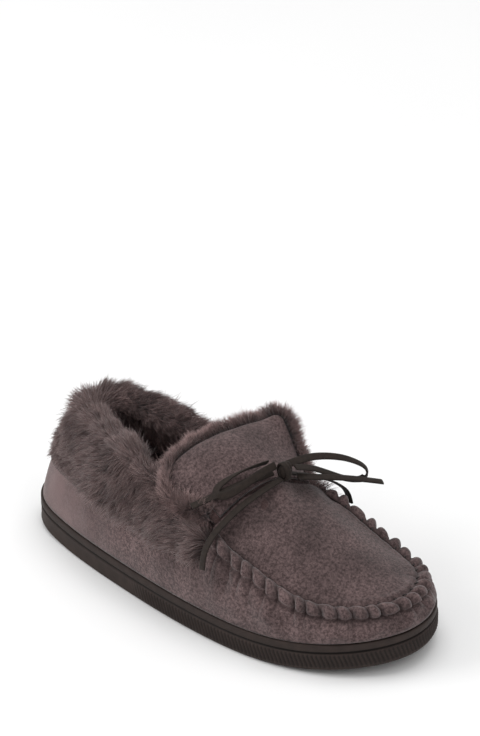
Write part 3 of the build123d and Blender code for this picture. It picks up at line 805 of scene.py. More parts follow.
# ---------------------------------------------------------------- sole
def sole_profile():
    """Section of the sole's rim as (distance in, height, share of the ribs, painted shade), all the way
    round.
    """
    groove_top = SOLE_HEIGHT - SOLE_BAND
    groove_low = groove_top - GROOVE_WIDTH
    rows = [(TREAD_MARGIN + 0.4, 0.0, 0, 0), (5.0, 0.0, 0, 0), (1.5, 0.0, 0, 0), (0.55, 0.35, 0, 0),
            (0.12, 1.2, 0, 0)]
    rows += [(0.0, z, ease(z, 1.4, 2.6) * (1 - ease(z, groove_low - 1.1, groove_low - 0.3)), 0)
             for z in np.linspace(1.6, groove_low - 0.25, 9)]
    # The last column is painted shade: in the groove, and over the rim's top and inner wall under the upper.
    rows += [
        (0.15, groove_low, 0, 0.3), (GROOVE_DEPTH, groove_low + 0.12, 0, 1),
        (GROOVE_DEPTH, groove_top - 0.12, 0, 1),
        (0.15, groove_top, 0, 0.3), (0.0, groove_top + 0.3, 0, 0), (0.0, SOLE_HEIGHT - 1.6, 0, 0),
        (0.0, SOLE_HEIGHT - 0.6, 0, 0), (0.2, SOLE_HEIGHT - 0.15, 0, 0), (0.7, SOLE_HEIGHT, 0, 0),
        (4.0, SOLE_HEIGHT, 0, 0.6), (RIM_WIDTH, SOLE_HEIGHT, 0, 0.6), (RIM_WIDTH, 9.0, 0, 0.6),
        (RIM_WIDTH, 3.0, 0, 0),
    ]
    return np.array(rows).T


def sole_rim():
    """The profile carried round the plan; the ribs are a wave along it that slants with the height."""
    inset, height, ribbed, painted_shade = (row[:, None] for row in sole_profile())
    share = np.arange(1800) / 1800
    (x, y), (ox, oy) = station(share)
    pitch = sizes().rib_pitch / MM
    wave = np.cos(2 * math.pi * (share * round(PLAN_LENGTH / pitch) + height * 0.16))
    reach = ease(throat_place(x, y), along(-0.12), along(-0.03))
    ribs = ribbed * reach * sizes().rib_depth / MM * (0.5 + 0.5 * wave) ** 0.8
    inset = inset + 0 * share - ribs + 0.2 * ribbed
    grid = np.stack([x - ox * inset, y - oy * inset, height + ground_lift(y - oy * inset)], -1)
    # Painted shade in the valleys between the ribs.
    low = ribbed * reach * (0.5 - 0.5 * wave) ** 1.5 * 0.95
    return grid, np.clip(painted_shade + low, 0, 1)


def tread_slab():
    """Underside inside the rim: rows across the plan, cut by even bars under the forefoot and the heel."""
    rows = 470
    inner = TREAD_MARGIN - 0.4
    share = np.linspace(0, 1, 4001)
    (x, y), (ox, oy) = station(share)
    x, y = x - ox * inner, y - oy * inner
    top = int(np.argmax(y))
    low, high = y.min(), y.max()
    place = low + (high - low) * (0.5 - 0.5 * np.cos(np.linspace(0.02, math.pi - 0.02, rows)))
    right = np.interp(place, np.maximum.accumulate(y[:top]), x[:top])
    left = np.interp(place, np.maximum.accumulate(y[top:][::-1]), x[top:][::-1])
    across = np.linspace(0, 1, 14)
    gx = left[:, None] + (right - left)[:, None] * across
    gy = place[:, None] + 0 * across
    cut = np.zeros(rows)
    for first, last in ((along(-0.42), along(-0.17)), (along(0.02), along(0.41))):
        steps = int((last - first) / TREAD_PITCH)
        nearest = first + np.clip(np.round((place - first) / TREAD_PITCH), 0, steps) * TREAD_PITCH
        cut = np.maximum(cut, 1 - ease(np.abs(place - nearest), TREAD_GAP / 2 - 0.35, TREAD_GAP / 2 + 0.35))
    under = np.stack([gx, gy, ground_lift(gy) + TREAD_DEPTH * cut[:, None] + 0.05], -1)
    over = np.stack([gx, gy, ground_lift(gy) + SOLE_HEIGHT - RECESS_DEPTH], -1)
    return np.concatenate([under, over[:, ::-1]], 1), cut


class SLIPPER_OT_sole(bpy.types.Operator):
    """Rubber unit sole: ribbed rim with its groove, and the barred tread under it"""

    bl_idname = "slipper.sole"
    bl_label = "Sole"

    def execute(self, context):
        rubber = finish_of("rubber_sole", rubber_finish)
        grid, painted_shade = sole_rim()
        faces = [grid_faces(*grid.shape[:2], True, True)]
        rim = put_mesh("sole_rim", grid, faces, rubber, {"painted_shade": painted_shade})
        loop, cut = tread_slab()
        # Painted shade in the tread's grooves.
        painted_shade = np.concatenate([np.repeat(cut * 0.6, loop.shape[1]), [0, 0]])
        tread = put_slab("sole_tread", loop, rubber, {"painted_shade": painted_shade})
        stand_for((rim, tread), "shoe", "sole", "outsole")
        return {"FINISHED"}


# ---------------------------------------------------------------- suede
def seam_fraction(share):
    """How far along the toe seam's own length a share round the plan is, with a little unevenness."""
    table = np.linspace(SEAM_FIRST, SEAM_LAST, 900)
    (x, y), (ox, oy) = station(table)
    line = np.stack([x - ox * SEAM_INSET * 0.85, y - oy * SEAM_INSET * 0.85], 1)
    run = np.concatenate([[0], np.cumsum(np.linalg.norm(np.diff(line, axis=0), axis=1))])
    part = np.interp(share, table, run / run[-1])
    return part + 0.0035 * np.sin(part * 71.0) + 0.0025 * np.sin(part * 43.0 + 1.0)


def pucker(share, shift=0.0):
    """Rounded gathers with sharp creases: the size of a cosine of half the phase, to a low power."""
    phase = seam_fraction(share) * sizes().pucker_count + shift
    return np.abs(np.cos(math.pi * phase)) ** 0.6


def along_seam(share, margin):
    """1 along the toe seam and 0 round the rest of the plan, eased over margin at either end of it."""
    return ease(share, SEAM_FIRST - margin, SEAM_FIRST + margin) * (
        1 - ease(share, SEAM_LAST - margin, SEAM_LAST + margin))


def gather_size(share):
    """Gathers differ by up to a half in size."""
    return np.sin(share[None] * 119.0) ** 2


def wall_face(share, seam):
    """The wall's outer face, its painted shade in the hollows and joins, and the painted light on its outer
    heel side.

    The curve up the wall is moved out by the gathers, which fade downwards, by slow slanting folds round the
    toe and by soft dents, and in by a neck under the seam.
    """
    up = np.linspace(0, 1, SUEDE_ROWS)[:, None]
    face = wall_point(share[None], up, 0.0)
    (x, y), out = station(share)
    out = np.stack([*out, 0 * share], -1)[None]
    drape = ease(up, 0.30, 1.0) * seam
    folds = (pucker(share)[None] - 0.62) * drape ** 1.3 * 2.7 * (0.75 + 0.5 * gather_size(share))
    one = np.sin(2 * math.pi * (share[None] * 17 + 0.5 * up))
    two = np.sin(2 * math.pi * (share[None] * 29 - 0.4 * up) + 1.0)
    broad = (one + two) * ease(up, 0.08, 0.6) * (1 - ease(up, 0.72, 0.95))
    neck = 1.3 * np.exp(-(((up - 0.94) / 0.05) ** 2)) * seam
    dents = ripple(face, 34.0, 4) * sizes().wrinkle / MM * 1.2 * np.sin(math.pi * np.clip(up, 0, 1)) ** 0.5
    # Painted shade: darker in the hollows between the gathers, along the foot where the wall meets the sole,
    # and under the neck below the seam.
    foot_shade = 0.30 * (1 - ease(up, 0.0, 0.045))
    painted_shade = (1 - pucker(share)[None]) ** 1.6 * drape ** 1.3 * 0.75 + foot_shade + 0.35 * neck
    face = face + out * (folds + dents + 0.95 * broad * front_mix(share) - neck)[..., None]
    # Painted light: paler towards the heel on the outer side, unevenly, for the light falling there and the
    # nap's sheen.
    painted_heel_sheen = (1 - ease(y, along(-0.40), along(-0.12))) * (0.75 + 0.5 * ripple(face, 30.0, 8))
    painted_heel_sheen = painted_heel_sheen * ease(x, -10.0, 20.0)
    return face, np.clip(painted_shade, 0, 1), np.clip(painted_heel_sheen, 0, 1)


def wall_crown(share, seam, top):
    """Over the wall's top: a gathered roll at the toe, and a plain edge of the suede's thickness at the heel.

    The roll is an arc from the wall's top to the valley beside the apron, swollen at each gather.
    """
    over = np.linspace(0, 1, CROWN_ROWS + 1)[1:, None]
    o = over[..., None]
    (x, y), (ox, oy) = station(share)
    out = np.stack([ox, oy, 0 * share], -1)[None]
    end_inset = SEAM_INSET + 0.9
    valley_z = instep_height(x - ox * end_inset, y - oy * end_inset) - 0.9
    valley = np.stack([x - ox * end_inset, y - oy * end_inset, valley_z], -1)[None]
    control = np.stack([x - ox * 5.6, y - oy * 5.6, valley_z + 3.6], -1)[None]
    arc = top[None] * (1 - o) ** 2 + control * 2 * o * (1 - o) + valley * o ** 2
    upward = np.array([0, 0, 1.0]) * (0.25 + 0.75 * np.sin(over * 2.2))[..., None]
    way = out * (np.cos(over * 2.0) * 0.9)[..., None] + upward
    leaning = pucker(share[None], 0.4 * (over - 0.15))
    height = sizes().pucker_height / MM
    lump = leaning * np.sin(math.pi * np.clip(0.22 + 0.78 * over, 0, 1)) ** 0.7
    swell = lump * height * 1.15 - 0.45 * height * np.sin(math.pi * over)
    rolled = arc + unit(way) * (swell * seam * (0.85 + 0.3 * gather_size(share)))[..., None]
    edge = wall_point(share[None], 1.0, over * SUEDE, 0.4 * np.sin(math.pi * over))
    blend = ease(throat_place(x, y), THROAT_Y - 2.0, THROAT_Y + 5.0)[None, :, None]
    # Painted shade in the hollows between the gathers and in the valley beside the apron.
    painted_shade = (1 - leaning) ** 1.3 * seam + 0.55 * ease(over, 0.82, 1.0) * seam
    return edge * (1 - blend) + rolled * blend, np.clip(painted_shade, 0, 1)


def wall_grid(columns):
    """The side wall as one closed skin: up its face, over its top and down inside."""
    share = (np.arange(columns) + 0.5) / columns
    seam = along_seam(share, SEAM_EASE)
    face, face_painted_shade, painted_heel_sheen = wall_face(share, seam)
    crown, crown_painted_shade = wall_crown(share, seam, face[-1])
    inside = wall_point(share[None], np.linspace(0.985, 0.0, INSIDE_ROWS)[:, None], SUEDE)
    painted_shade = np.concatenate([face_painted_shade, crown_painted_shade, np.zeros((len(inside), columns))])
    painted_heel_sheen = np.concatenate([painted_heel_sheen, np.zeros((len(crown) + len(inside), columns))])
    return np.concatenate([face, crown, inside]), painted_shade, painted_heel_sheen


class SLIPPER_OT_side_wall(bpy.types.Operator):
    """Suede side wall in one piece, gathered into the seam round the toe"""

    bl_idname = "slipper.side_wall"
    bl_label = "Side wall"

    def execute(self, context):
        grid, painted_shade, painted_heel_sheen = wall_grid(1350)
        # A lighter copy of the suede, at level 1.1: painted light on the side wall.
        finish = finish_of("suede_side_lit", lambda: suede_finish("suede_side_lit", 1.1))
        faces = [grid_faces(*grid.shape[:2], True, True)]
        wall = put_mesh("suede_wall", grid, faces, finish, {"painted_shade": painted_shade, "painted_heel_sheen": painted_heel_sheen})
        stand_for([wall], "shoe", "suede", "side_wall", "toe_seam_roll")
        return {"FINISHED"}


def cushion_slab(outline, centre, height, thick, rows, curve=1.5):
    """Slab over an outline, as rings drawn in to the centre line: the top's, then the underside's."""
    ring = (np.linspace(0, 1, rows, endpoint=False) ** curve)[:, None, None]
    flat = outline[None] * (1 - ring) + centre[None] * ring
    top = np.dstack([flat, height(flat[..., 0], flat[..., 1])])
    lower_rings = ring[:: max(1, rows // 8)]
    flat = outline[None] * (1 - lower_rings) + centre[None] * lower_rings
    under = np.dstack([flat, height(flat[..., 0], flat[..., 1]) - thick])
    return np.concatenate([top[::-1], under])


def even_loop(points, count):
    """A closed line read at even steps."""
    closed = np.vstack([points, points[:1]])
    run = np.concatenate([[0], np.cumsum(np.linalg.norm(np.diff(closed, axis=0), axis=1))])
    even = np.linspace(0, run[-1], count, endpoint=False)
    return np.stack([np.interp(even, run, closed[:, k]) for k in range(2)], 1)


def apron_outline(inset, count):
    """The toe seam's line from the throat round the toe and back, closed by the throat line."""
    first, last = share_at(1, THROAT_Y + PART_GAP + 0.5), share_at(-1, THROAT_Y + PART_GAP + 0.5)
    share = np.linspace(first, last, 1600)
    (x, y), (ox, oy) = station(share)
    line = np.stack([x - ox * inset, y - oy * inset], 1)
    keep = throat_place(line[:, 0], line[:, 1]) > THROAT_Y + PART_GAP
    line = line[keep]
    return even_loop(line, count)


def apron_height(x, y):
    """The instep surface with soft dents, drawn down and pinched at each stitch near the seam."""
    flat = np.stack([x, y, 0 * x], -1)
    near_bow = np.exp(-((throat_place(x, y) - THROAT_Y - 9.0) / 8.0) ** 2)
    pull = near_bow * (0.5 + 0.5 * np.sin((x - 0.9 * y) / 4.6)) * 2.0
    return instep_height(x, y) + ripple(flat, 46.0, 11) * sizes().wrinkle / MM - pull


def nearest_share(x, y):
    """Share round the plan of the nearest point of it, read from a coarse table."""
    share = np.linspace(0, 1, 720, endpoint=False)
    (px, py), _ = station(share)
    flat = np.stack([np.ravel(x), np.ravel(y)], 1)
    far = (flat[:, :1] - px[None]) ** 2 + (flat[:, 1:] - py[None]) ** 2
    k = far.argmin(1)
    return share[k].reshape(np.shape(x)), np.sqrt(far[np.arange(len(k)), k]).reshape(np.shape(x))


class SLIPPER_OT_apron(bpy.types.Operator):
    """Suede apron over the toes, pinched at its edge by the whip stitches"""

    bl_idname = "slipper.apron"
    bl_label = "Apron"

    def execute(self, context):
        outline = apron_outline(SEAM_INSET + 0.1, 1100)
        middle = np.stack([
            np.full(len(outline), MIDDLE_X - 3.0) + 0.25 * (outline[:, 0] - MIDDLE_X + 3.0),
            np.clip(outline[:, 1], THROAT_Y + 26.0, along(0.36)),
        ], 1)
        grid = cushion_slab(outline, middle, apron_height, SUEDE, 40, 1.9)
        share, far = nearest_share(outline[:, 0], outline[:, 1])
        seam = ease(share, SEAM_FIRST, SEAM_FIRST + 0.01) * (1 - ease(share, SEAM_LAST - 0.01, SEAM_LAST))
        seam = seam * (1 - ease(far, 12.0, 16.0))
        depth = np.linalg.norm(grid[..., :2] - outline[None], axis=-1)
        pinch = (1 - pucker(share)) * seam
        grid[..., 2] -= pinch[None] * 1.1 * np.exp(-depth / 2.6) + seam * 1.0 * np.exp(-depth / 1.1)
        grid[..., 2] += seam * 0.55 * np.exp(-((depth - 3.2) / 1.8) ** 2)
        # Painted shade at each stitch's pinch and along the edge at the seam.
        painted_shade = pinch[None] * np.exp(-depth / 1.3) * 0.95 + seam[None] * 0.35 * np.exp(-depth / 0.7)
        # A darker copy of the suede, at level 0.92: painted shade on the apron.
        finish = finish_of("suede_top_shaded", lambda: suede_finish("suede_top_shaded", 0.92))
        apron = put_slab("suede_apron", grid, finish, {"painted_shade": np.append(painted_shade, [0, 0])})
        stand_for([apron], "shoe", "suede", "apron")
        return {"FINISHED"}


def tongue_outline(extra, count):
    """Plan of the tongue: a flared flap, its free corners rounded by arcs, turned to the throat line."""
    back = -TONGUE_LENGTH - FLAP_LONGER - extra

    def half(base, tip, radius):
        """One side of the flap: a straight lean from base to tip, then an arc round the free corner."""
        lean = math.atan2(tip - base, -back)
        centre = np.array([tip - radius * (1 + math.sin(lean)) / math.cos(lean), back + radius])
        turn = np.linspace(lean, -math.pi / 2, 40)
        arc = centre + radius * np.stack([np.cos(turn), np.sin(turn)], 1)
        return np.vstack([[base, 0.0], arc])

    tip = TONGUE_TIP / 2 - FLAP_TIP_NARROWER + extra
    outer = half(TONGUE_BASE / 2 + FLAP_WIDER_OUTER + extra, tip, FLAP_CORNER_OUTER + extra)
    inner = half(TONGUE_BASE / 2 + FLAP_WIDER_INNER + extra, tip, FLAP_CORNER_INNER + extra)
    shape = np.vstack([outer, (inner * [-1, 1])[::-1]])
    angle = -math.atan(THROAT_SKEW)
    spin = np.array([[math.cos(angle), -math.sin(angle)], [math.sin(angle), math.cos(angle)]])
    return even_loop(shape, count) @ spin.T + [MIDDLE_X, THROAT_Y - PART_GAP]


def tongue_height(x, y):
    """The instep surface with soft dents; its back droops on the outer side and lifts on the inner."""
    flat = np.stack([x, y, 0 * x], -1)
    back = ease(THROAT_Y - throat_place(x, y), 2.0, 30.0)
    outer = np.minimum(9.0 * (np.clip(x - MIDDLE_X, 0, None) / 35.0) ** 6, 17.0)
    inner = 6.0 * (np.clip(MIDDLE_X - x, 0, None) / 42.0) ** 4
    return instep_height(x, y) + ripple(flat, 40.0, 21) * sizes().wrinkle / MM * 0.8 - back * (outer - inner)


class SLIPPER_OT_tongue(bpy.types.Operator):
    """Tongue: a suede flap over its fur lining, with fur standing out round its free edges"""

    bl_idname = "slipper.tongue"
    bl_label = "Tongue"

    def execute(self, context):
        outline = tongue_outline(0.0, 520)
        centre = np.broadcast_to(outline.mean(0), outline.shape)
        grid = cushion_slab(outline, centre, tongue_height, SUEDE, 30, 1.7)
        depth = np.linalg.norm(grid[..., :2] - outline[None], axis=-1)
        grid[..., 2] -= 0.6 * np.exp(-depth / 1.6)
        # Painted shade along the flap's turned-down edge.
        painted_shade = np.append(0.2 * np.exp(-depth / 0.6), [0, 0])
        # The tongue's copy of the suede, at level 1.0, lighter than the apron's: painted light.
        finish = finish_of("suede_flap_lit", lambda: suede_finish("suede_flap_lit", 1.0))
        flap = put_slab("suede_tongue", grid, finish, {"painted_shade": painted_shade})
        stand_for([flap], "tongue", "suede", "tongue")

        outline = tongue_outline(BORDER_PAST_FLAP, 500)
        centre = np.broadcast_to(outline.mean(0), outline.shape)

        def fleece_height(x, y):
            """Top of the fleece, a gap under the flap."""
            return tongue_height(x, y) - SUEDE - 0.3

        grid = cushion_slab(outline, centre, fleece_height, LINING, 22, 1.5)
        depth = np.linalg.norm(grid[..., :2] - outline[None], axis=-1)
        middle_z = fleece_height(grid[..., 0], grid[..., 1]) - LINING / 2
        grid[..., 2] = middle_z + (grid[..., 2] - middle_z) * (0.55 + 0.45 * ease(depth, 0.0, 2.5))
        fleece = put_slab("tongue_fleece", grid, pile())
        stand_for([fleece], "tongue", "fur", "tongue_lining")
        self.grow_border(outline, fleece_height)
        return {"FINISHED"}

    def grow_border(self, outline, height):
        """Hairs root on a rounded bead round the free edges and stand out of them."""
        middle = outline.mean(0)
        out = unit(outline - middle)
        angle = np.linspace(1.15, -1.5, 12)[:, None, None]
        ring = outline[None] + out[None] * (np.cos(angle) * 1.6 - 1.4)
        z = height(outline[:, 0], outline[:, 1])[None] - 2.2 + np.sin(angle[..., 0]) * 2.5
        grid = np.dstack([ring, z])
        grid = np.concatenate([grid, grid[:, :1]], 1)
        grid = turned(grid, np.append(middle, z.mean()))
        weight = ease(THROAT_Y - 5.0 - throat_place(grid[..., 0], grid[..., 1]), 0.0, 3.0)
        # A lighter copy of the cuff's fur, at level 1.45: painted light on the tongue's border.
        finish = finish_of("fur_border", lambda: fur_finish("fur_border", 1.45))
        length, width = hair_size()
        border = grow_fur("tongue_fur_border", grid, BORDER_HAIRS, length * 0.74, width * 0.8,
                          (-0.62, 0.1), 0.85, finish, 31, weight, size=2.4, pull=0.15)
        stand_for([border], "tongue", "fur", "tongue_lining")


class SLIPPER_OT_stitches(bpy.types.Operator):
    """Whip stitches of dark thread, one in each hollow between two gathers"""

    bl_idname = "slipper.stitches"
    bl_label = "Seam stitches"

    def execute(self, context):
        count = sizes().pucker_count
        table = np.linspace(SEAM_FIRST, SEAM_LAST, 4000)
        share = np.interp((np.arange(1, count - 1) + 0.5) / count, seam_fraction(table), table)
        (x, y), (ox, oy) = station(share)
        s = np.linspace(0, 1, 9)
        # Each stitch: an arch from a hole in the apron, over the valley, into the hollow of the roll.
        inset = SEAM_INSET + 2.1 - 4.6 * s
        px, py = x[:, None] - ox[:, None] * inset, y[:, None] - oy[:, None] * inset
        slant = 0.9 * (s - 0.5)
        px, py = px - oy[:, None] * slant, py + ox[:, None] * slant
        seam_z = instep_height(x - ox * SEAM_INSET, y - oy * SEAM_INSET)[:, None]
        line = np.stack([px, py, seam_z - 1.7 + 2.3 * np.sin(math.pi * s) ** 0.7 + 0.6 * s], -1)
        way = unit(np.gradient(line, axis=1))
        up = np.broadcast_to([0.0, 0.0, 1.0], way.shape)
        side = unit(np.cross(way, up))
        above = np.cross(side, way)
        turn = np.arange(7) * 2 * math.pi / 7
        swell = (0.52 * np.sin(math.pi * np.clip(0.12 + 0.76 * s, 0, 1)) ** 0.4)[None, :, None, None]
        cosine, sine = np.cos(turn)[:, None], np.sin(turn)[:, None]
        body = line[:, :, None] + swell * (side[:, :, None] * cosine + above[:, :, None] * sine)
        n = len(share)
        points = np.concatenate([body.reshape(n, -1, 3), line[:, :1], line[:, -1:]], 1)
        first = (np.arange(n) * points.shape[1])[:, None, None]
        quads, *caps = slab_faces(len(s), len(turn))
        quads = (quads[None] + first).reshape(-1, 4)
        tris = (np.vstack(caps)[None] + first).reshape(-1, 3)
        piece = put_mesh("whip_stitches", points, [quads, tris], finish_of("seam_thread", thread_finish))
        stand_for([piece], "shoe", "thread", "seam_thread")
        return {"FINISHED"}


# ---------------------------------------------------------------- cuff and linings
def cuff_grid(share, rows, sink, swell):
    """The cuff's outside at each place: up its outer face, over the fold and down its inner face."""
    (x, y), _ = station(share)
    thin = between(throat_place(x, y), ((along(-0.20), 0.0), (THROAT_Y, 1.0)))
    inner = lining_depth(share) + LINING * (1 - 0.6 * thin) - sink * 0.5
    outer = CUFF_THICK - sink
    fold = CUFF_ROLL * (1 - 0.35 * thin) - sink + CUFF_FOLD_RISE * (1 - thin)
    low = wall_t_at(share, CUFF_BOTTOM)
    middle, half = (inner - outer) / 2, (inner + outer) / 2
    knots = [wall_point(share, low + (1 - low) * k, -outer * (0.35 if k == 0 else 1.0))
             for k in (0, 0.12, 0.34, 0.56, 0.78, 1.0)]
    for degrees in (150, 120, 90, 60, 30):
        a = math.radians(degrees)
        knots.append(wall_point(share, 1.0, middle + half * math.cos(a), 1.0 + (fold - 1.0) * math.sin(a)))
    knots += [wall_point(share, k, inner) for k in (1.0, 0.86, LINING_TOP + 0.02)]
    grid = smooth_rows(np.stack(knots, 1), rows).transpose(1, 0, 2)
    normals = grid_normals(grid)
    sense = np.sign(((grid - grid.mean(0)) * normals).sum())
    return grid + sense * normals * (ripple(grid, 19.0, 51) * swell)[..., None]


def rear_shares(count):
    """Shares round the heel, from the throat on the inner side to the throat on the outer."""
    return np.linspace(THROAT_LAST - 1, THROAT_FIRST, count)


class SLIPPER_OT_cuff(bpy.types.Operator):
    """Turned-down fur cuff: a padded fold over the wall's top, with long fur all over it"""

    bl_idname = "slipper.cuff"
    bl_label = "Fur cuff"

    def execute(self, context):
        share = rear_shares(560)
        outer = cuff_grid(share, 44, CUFF_SINK, CUFF_SWELL)
        inner_knots = [wall_point(share, LINING_TOP + 0.02, lining_depth(share) + GLUE),
                       wall_point(share, 1.0, lining_depth(share) + GLUE),
                       wall_point(share, 1.0, (lining_depth(share) - GLUE) / 2, 1.6),
                       wall_point(share, 1.0, -2 * GLUE),
                       wall_point(share, wall_t_at(share, CUFF_BOTTOM), -2 * GLUE)]
        inside = smooth_rows(np.stack(inner_knots, 1), 14).transpose(1, 0, 2)
        loop = np.concatenate([outer, inside])
        base = capped("cuff_pile", loop, pile())
        stand_for([base], "shoe", "fur", "collar_cuff")
        self.grow(turned(outer, outer.mean(0)))
        return {"FINISHED"}

    def grow(self, outer):
        """Fur in patches: each spans some of the cuff's rows and a share of the way round it."""
        length, width = hair_size()
        columns = outer.shape[1]
        finish = finish_of("fur_cuff", lambda: fur_finish("fur_cuff", 0.98))

        def by_height(place):
            """Fur lies shorter low on the back of the heel and stands longer over the fold."""
            rear = 1 - ease(place[:, 1], along(-0.42), along(-0.25))
            return 1.0 + rear * between(place[:, 2], ((50.0, -0.5), (64.0, -0.25), (78.0, 0.15)))

        patches = (
            ("fur_side_a", 5, 26, 0.0, 0.36),
            ("fur_heel", 5, 26, 0.34, 0.66),
            ("fur_side_b", 5, 26, 0.64, 1.0),
            ("fur_fold_a", 20, 34, 0.0, 0.5),
            ("fur_fold_b", 20, 34, 0.5, 1.0),
        )
        for k, (name, low, high, first, last) in enumerate(patches):
            patch = outer[low:high, int(first * columns): int(last * columns)]
            down = (-0.62, 0.30) if low == 5 else (-0.15, 0.5)
            lift = 0.40 if low == 5 else 0.75
            piece = grow_fur(name, patch, sizes().hairs_per_patch, length, width, down, lift, finish,
                             60 + 7 * k, longer=by_height)
            stand_for([piece], "shoe", "fur", "collar_cuff")
        piece = grow_fur("fur_inside_collar", outer[30:], COLLAR_HAIRS, length * 0.8, width,
                         (0.35, 0.6), 0.55, inner_hair(), 97, fine=False)
        stand_for([piece], "shoe", "fur", "collar_cuff")


def lining_loop(share, high, rows, seed):
    """A lining behind the wall: up its outer side to a share of the height, and down its uneven pile."""
    depth = lining_depth(share)[None]
    t = high * np.linspace(0, 1, rows)[:, None]
    outside = wall_point(share[None], t, depth)
    inside = wall_point(share[None], t[::-1], depth + LINING)
    inside += grid_normals(inside) * (ripple(inside, 16.0, seed) * 0.5)[..., None]
    return np.concatenate([outside, inside])


class SLIPPER_OT_linings(bpy.types.Operator):
    """Fur linings inside the quarter, the vamp and under the apron, and the pile of the sock"""

    bl_idname = "slipper.linings"
    bl_label = "Linings"

    def execute(self, context):
        length, width = hair_size()
        loop = lining_loop(rear_shares(420), LINING_TOP, 22, 71)
        quarter = capped("quarter_lining_pile", loop, pile())
        inside = turned(loop[22:], np.array([MIDDLE_X, along(-0.2), 40.0]), -1)
        fur = grow_fur("quarter_lining_fur", inside, QUARTER_HAIRS, length * 0.6, width, (-0.3, 0.5), 0.7,
                       inner_hair(), 73, fine=False)
        stand_for((quarter, fur), "shoe", "fur", "quarter_lining")

        share = np.linspace(share_at(1, THROAT_Y + 0.6), share_at(-1, THROAT_Y + 0.6), 360)
        vamp = capped("vamp_lining_pile", lining_loop(share, VAMP_TOP, 14, 75), pile())
        stand_for([vamp], "shoe", "fur", "vamp_lining")
        self.roof()
        self.sock(length, width)
        return {"FINISHED"}

    def roof(self):
        """The apron's lining is a slab under the apron, its pile uneven."""
        outline = apron_outline(SEAM_INSET + SUEDE + LINING, 420)
        middle = np.stack([
            MIDDLE_X - 3.0 + 0.25 * (outline[:, 0] - MIDDLE_X + 3.0),
            np.clip(outline[:, 1], THROAT_Y + 26.0, along(0.34)),
        ], 1)

        def under_apron(x, y):
            """Top of the lining: the instep, less the suede and the gap of glue."""
            return instep_height(x, y) - SUEDE - GLUE - 0.25

        tops = 14
        grid = cushion_slab(outline, middle, under_apron, LINING - 0.5, tops, 1.5)
        grid[tops:, :, 2] += ripple(grid[tops:] * [1, 1, 0], 15.0, 77) * 0.5
        roof = put_slab("apron_lining_pile", grid, pile())
        stand_for([roof], "shoe", "fur", "apron_lining")

    def sock(self, length, width):
        """The sock is a soft slab with the plan's outline, and short fur over it."""
        share = np.linspace(0, 1, 500, endpoint=False)
        (x, y), (ox, oy) = station(share)
        inset = RIM_WIDTH + 0.5
        outline = np.stack([x - ox * inset, y - oy * inset], 1)
        middle = np.stack([
            MIDDLE_X + 0.15 * (outline[:, 0] - MIDDLE_X),
            np.clip(outline[:, 1], along(-0.36), along(0.30)),
        ], 1)

        def sock_height(x, y):
            """Top of the sock: level but for the sole's curl and the pile's unevenness."""
            flat = np.stack([x, y, 0 * x], -1)
            return SOCK_TOP - 0.4 + ground_lift(y) + ripple(flat, 24.0, 81) * 0.35

        tops = 24
        grid = cushion_slab(outline, middle, sock_height, 4.4, tops, 1.3)
        slab = put_slab("sock_pile", grid, pile())
        top = np.concatenate([grid[:tops], grid[:tops, :1]], 1)
        top = turned(top, np.array([0.0, 0.0, -500.0]))
        near = 1 - ease(top[..., 1], along(0.02), along(0.12))
        fur = grow_fur("sock_fur", top, SOCK_HAIRS, length * 0.45, width, (0.0, 0.3), 1.2, inner_hair(), 83,
                       near, fine=False)
        stand_for((slab, fur), "shoe", "fur", "sock_lining")


class SLIPPER_OT_hidden(bpy.types.Operator):
    """Finishes for the pieces inside: insole board, footbed foam and heel counter"""

    bl_idname = "slipper.hidden"
    bl_label = "Inner layers"

    def execute(self, context):
        board = finish_of("fibre_board", board_finish)
        for name, material in (("insole_board", board), ("heel_counter", board),
                               ("footbed_foam", finish_of("footbed_foam", foam_finish))):
            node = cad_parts[name]
            node.data.materials.clear()
            node.data.materials.append(material)
        return {"FINISHED"}


# ---------------------------------------------------------------- lace
def route_line(name):
    """Points along the smooth line that has the route's points as its control points, in metres."""
    points = LACE_ROUTES[name]
    curve = bpy.data.curves.new(name + "_line", "CURVE")
    curve.dimensions = "3D"
    curve.resolution_u = 20
    spline = curve.splines.new("NURBS")
    spline.points.add(len(points) - 1)
    for point, place in zip(spline.points, points):
        point.co = (*(c * MM for c in place), 1.0)
    spline.order_u = 3
    spline.use_endpoint_u = True
    holder = bpy.data.objects.new(name + "_line", curve)
    mesh = bpy.data.meshes.new_from_object(holder)
    line = np.empty(len(mesh.vertices) * 3)
    mesh.vertices.foreach_get("co", line)
    bpy.data.meshes.remove(mesh)
    bpy.data.objects.remove(holder)
    bpy.data.curves.remove(curve)
    return line.reshape(-1, 3)


def squared(wave, power):
    """A sine or cosine pushed out to a squarer shape, its sign kept."""
    return np.sign(wave) * np.abs(wave) ** power


def edge_darkening(wide, width):
    """How much darker the lace is at points that far from its middle: none, then more towards its two edges.
    """
    return np.clip((np.abs(wide) / (width / 2) - 0.78) * 3.0, 0, 1) * 0.7


def ribbon(name, line, faces_way, width, thick, material):
    """A flat lace: a rounded bar section carried along the line, its flat side turned the way given."""
    line = line / MM
    n = len(line)
    way = unit(np.gradient(line, axis=0))
    stops = np.linspace(0, 1, len(faces_way))
    s = np.linspace(0, 1, n)
    flat = np.stack([np.interp(s, stops, [f[k] for f in faces_way]) for k in range(3)], 1)
    flat = unit(flat - way * (flat * way).sum(1, keepdims=True))
    side = np.cross(way, flat)
    turn = np.arange(LACE_SIDES) * 2 * math.pi / LACE_SIDES
    wide = squared(np.cos(turn), 0.45) * width / 2
    deep = squared(np.sin(turn), 0.75) * thick / 2
    deep = deep * (1 - 0.25 * (wide / (width / 2)) ** 8)
    body = line[:, None] + side[:, None] * wide[:, None] + flat[:, None] * deep[:, None]
    points = np.vstack([body.reshape(-1, 3), line[0], line[-1]])
    edge = np.append(np.tile(edge_darkening(wide, width), n), [0, 0])
    return put_mesh(name, points, slab_faces(n, LACE_SIDES), material, {"edge": edge})


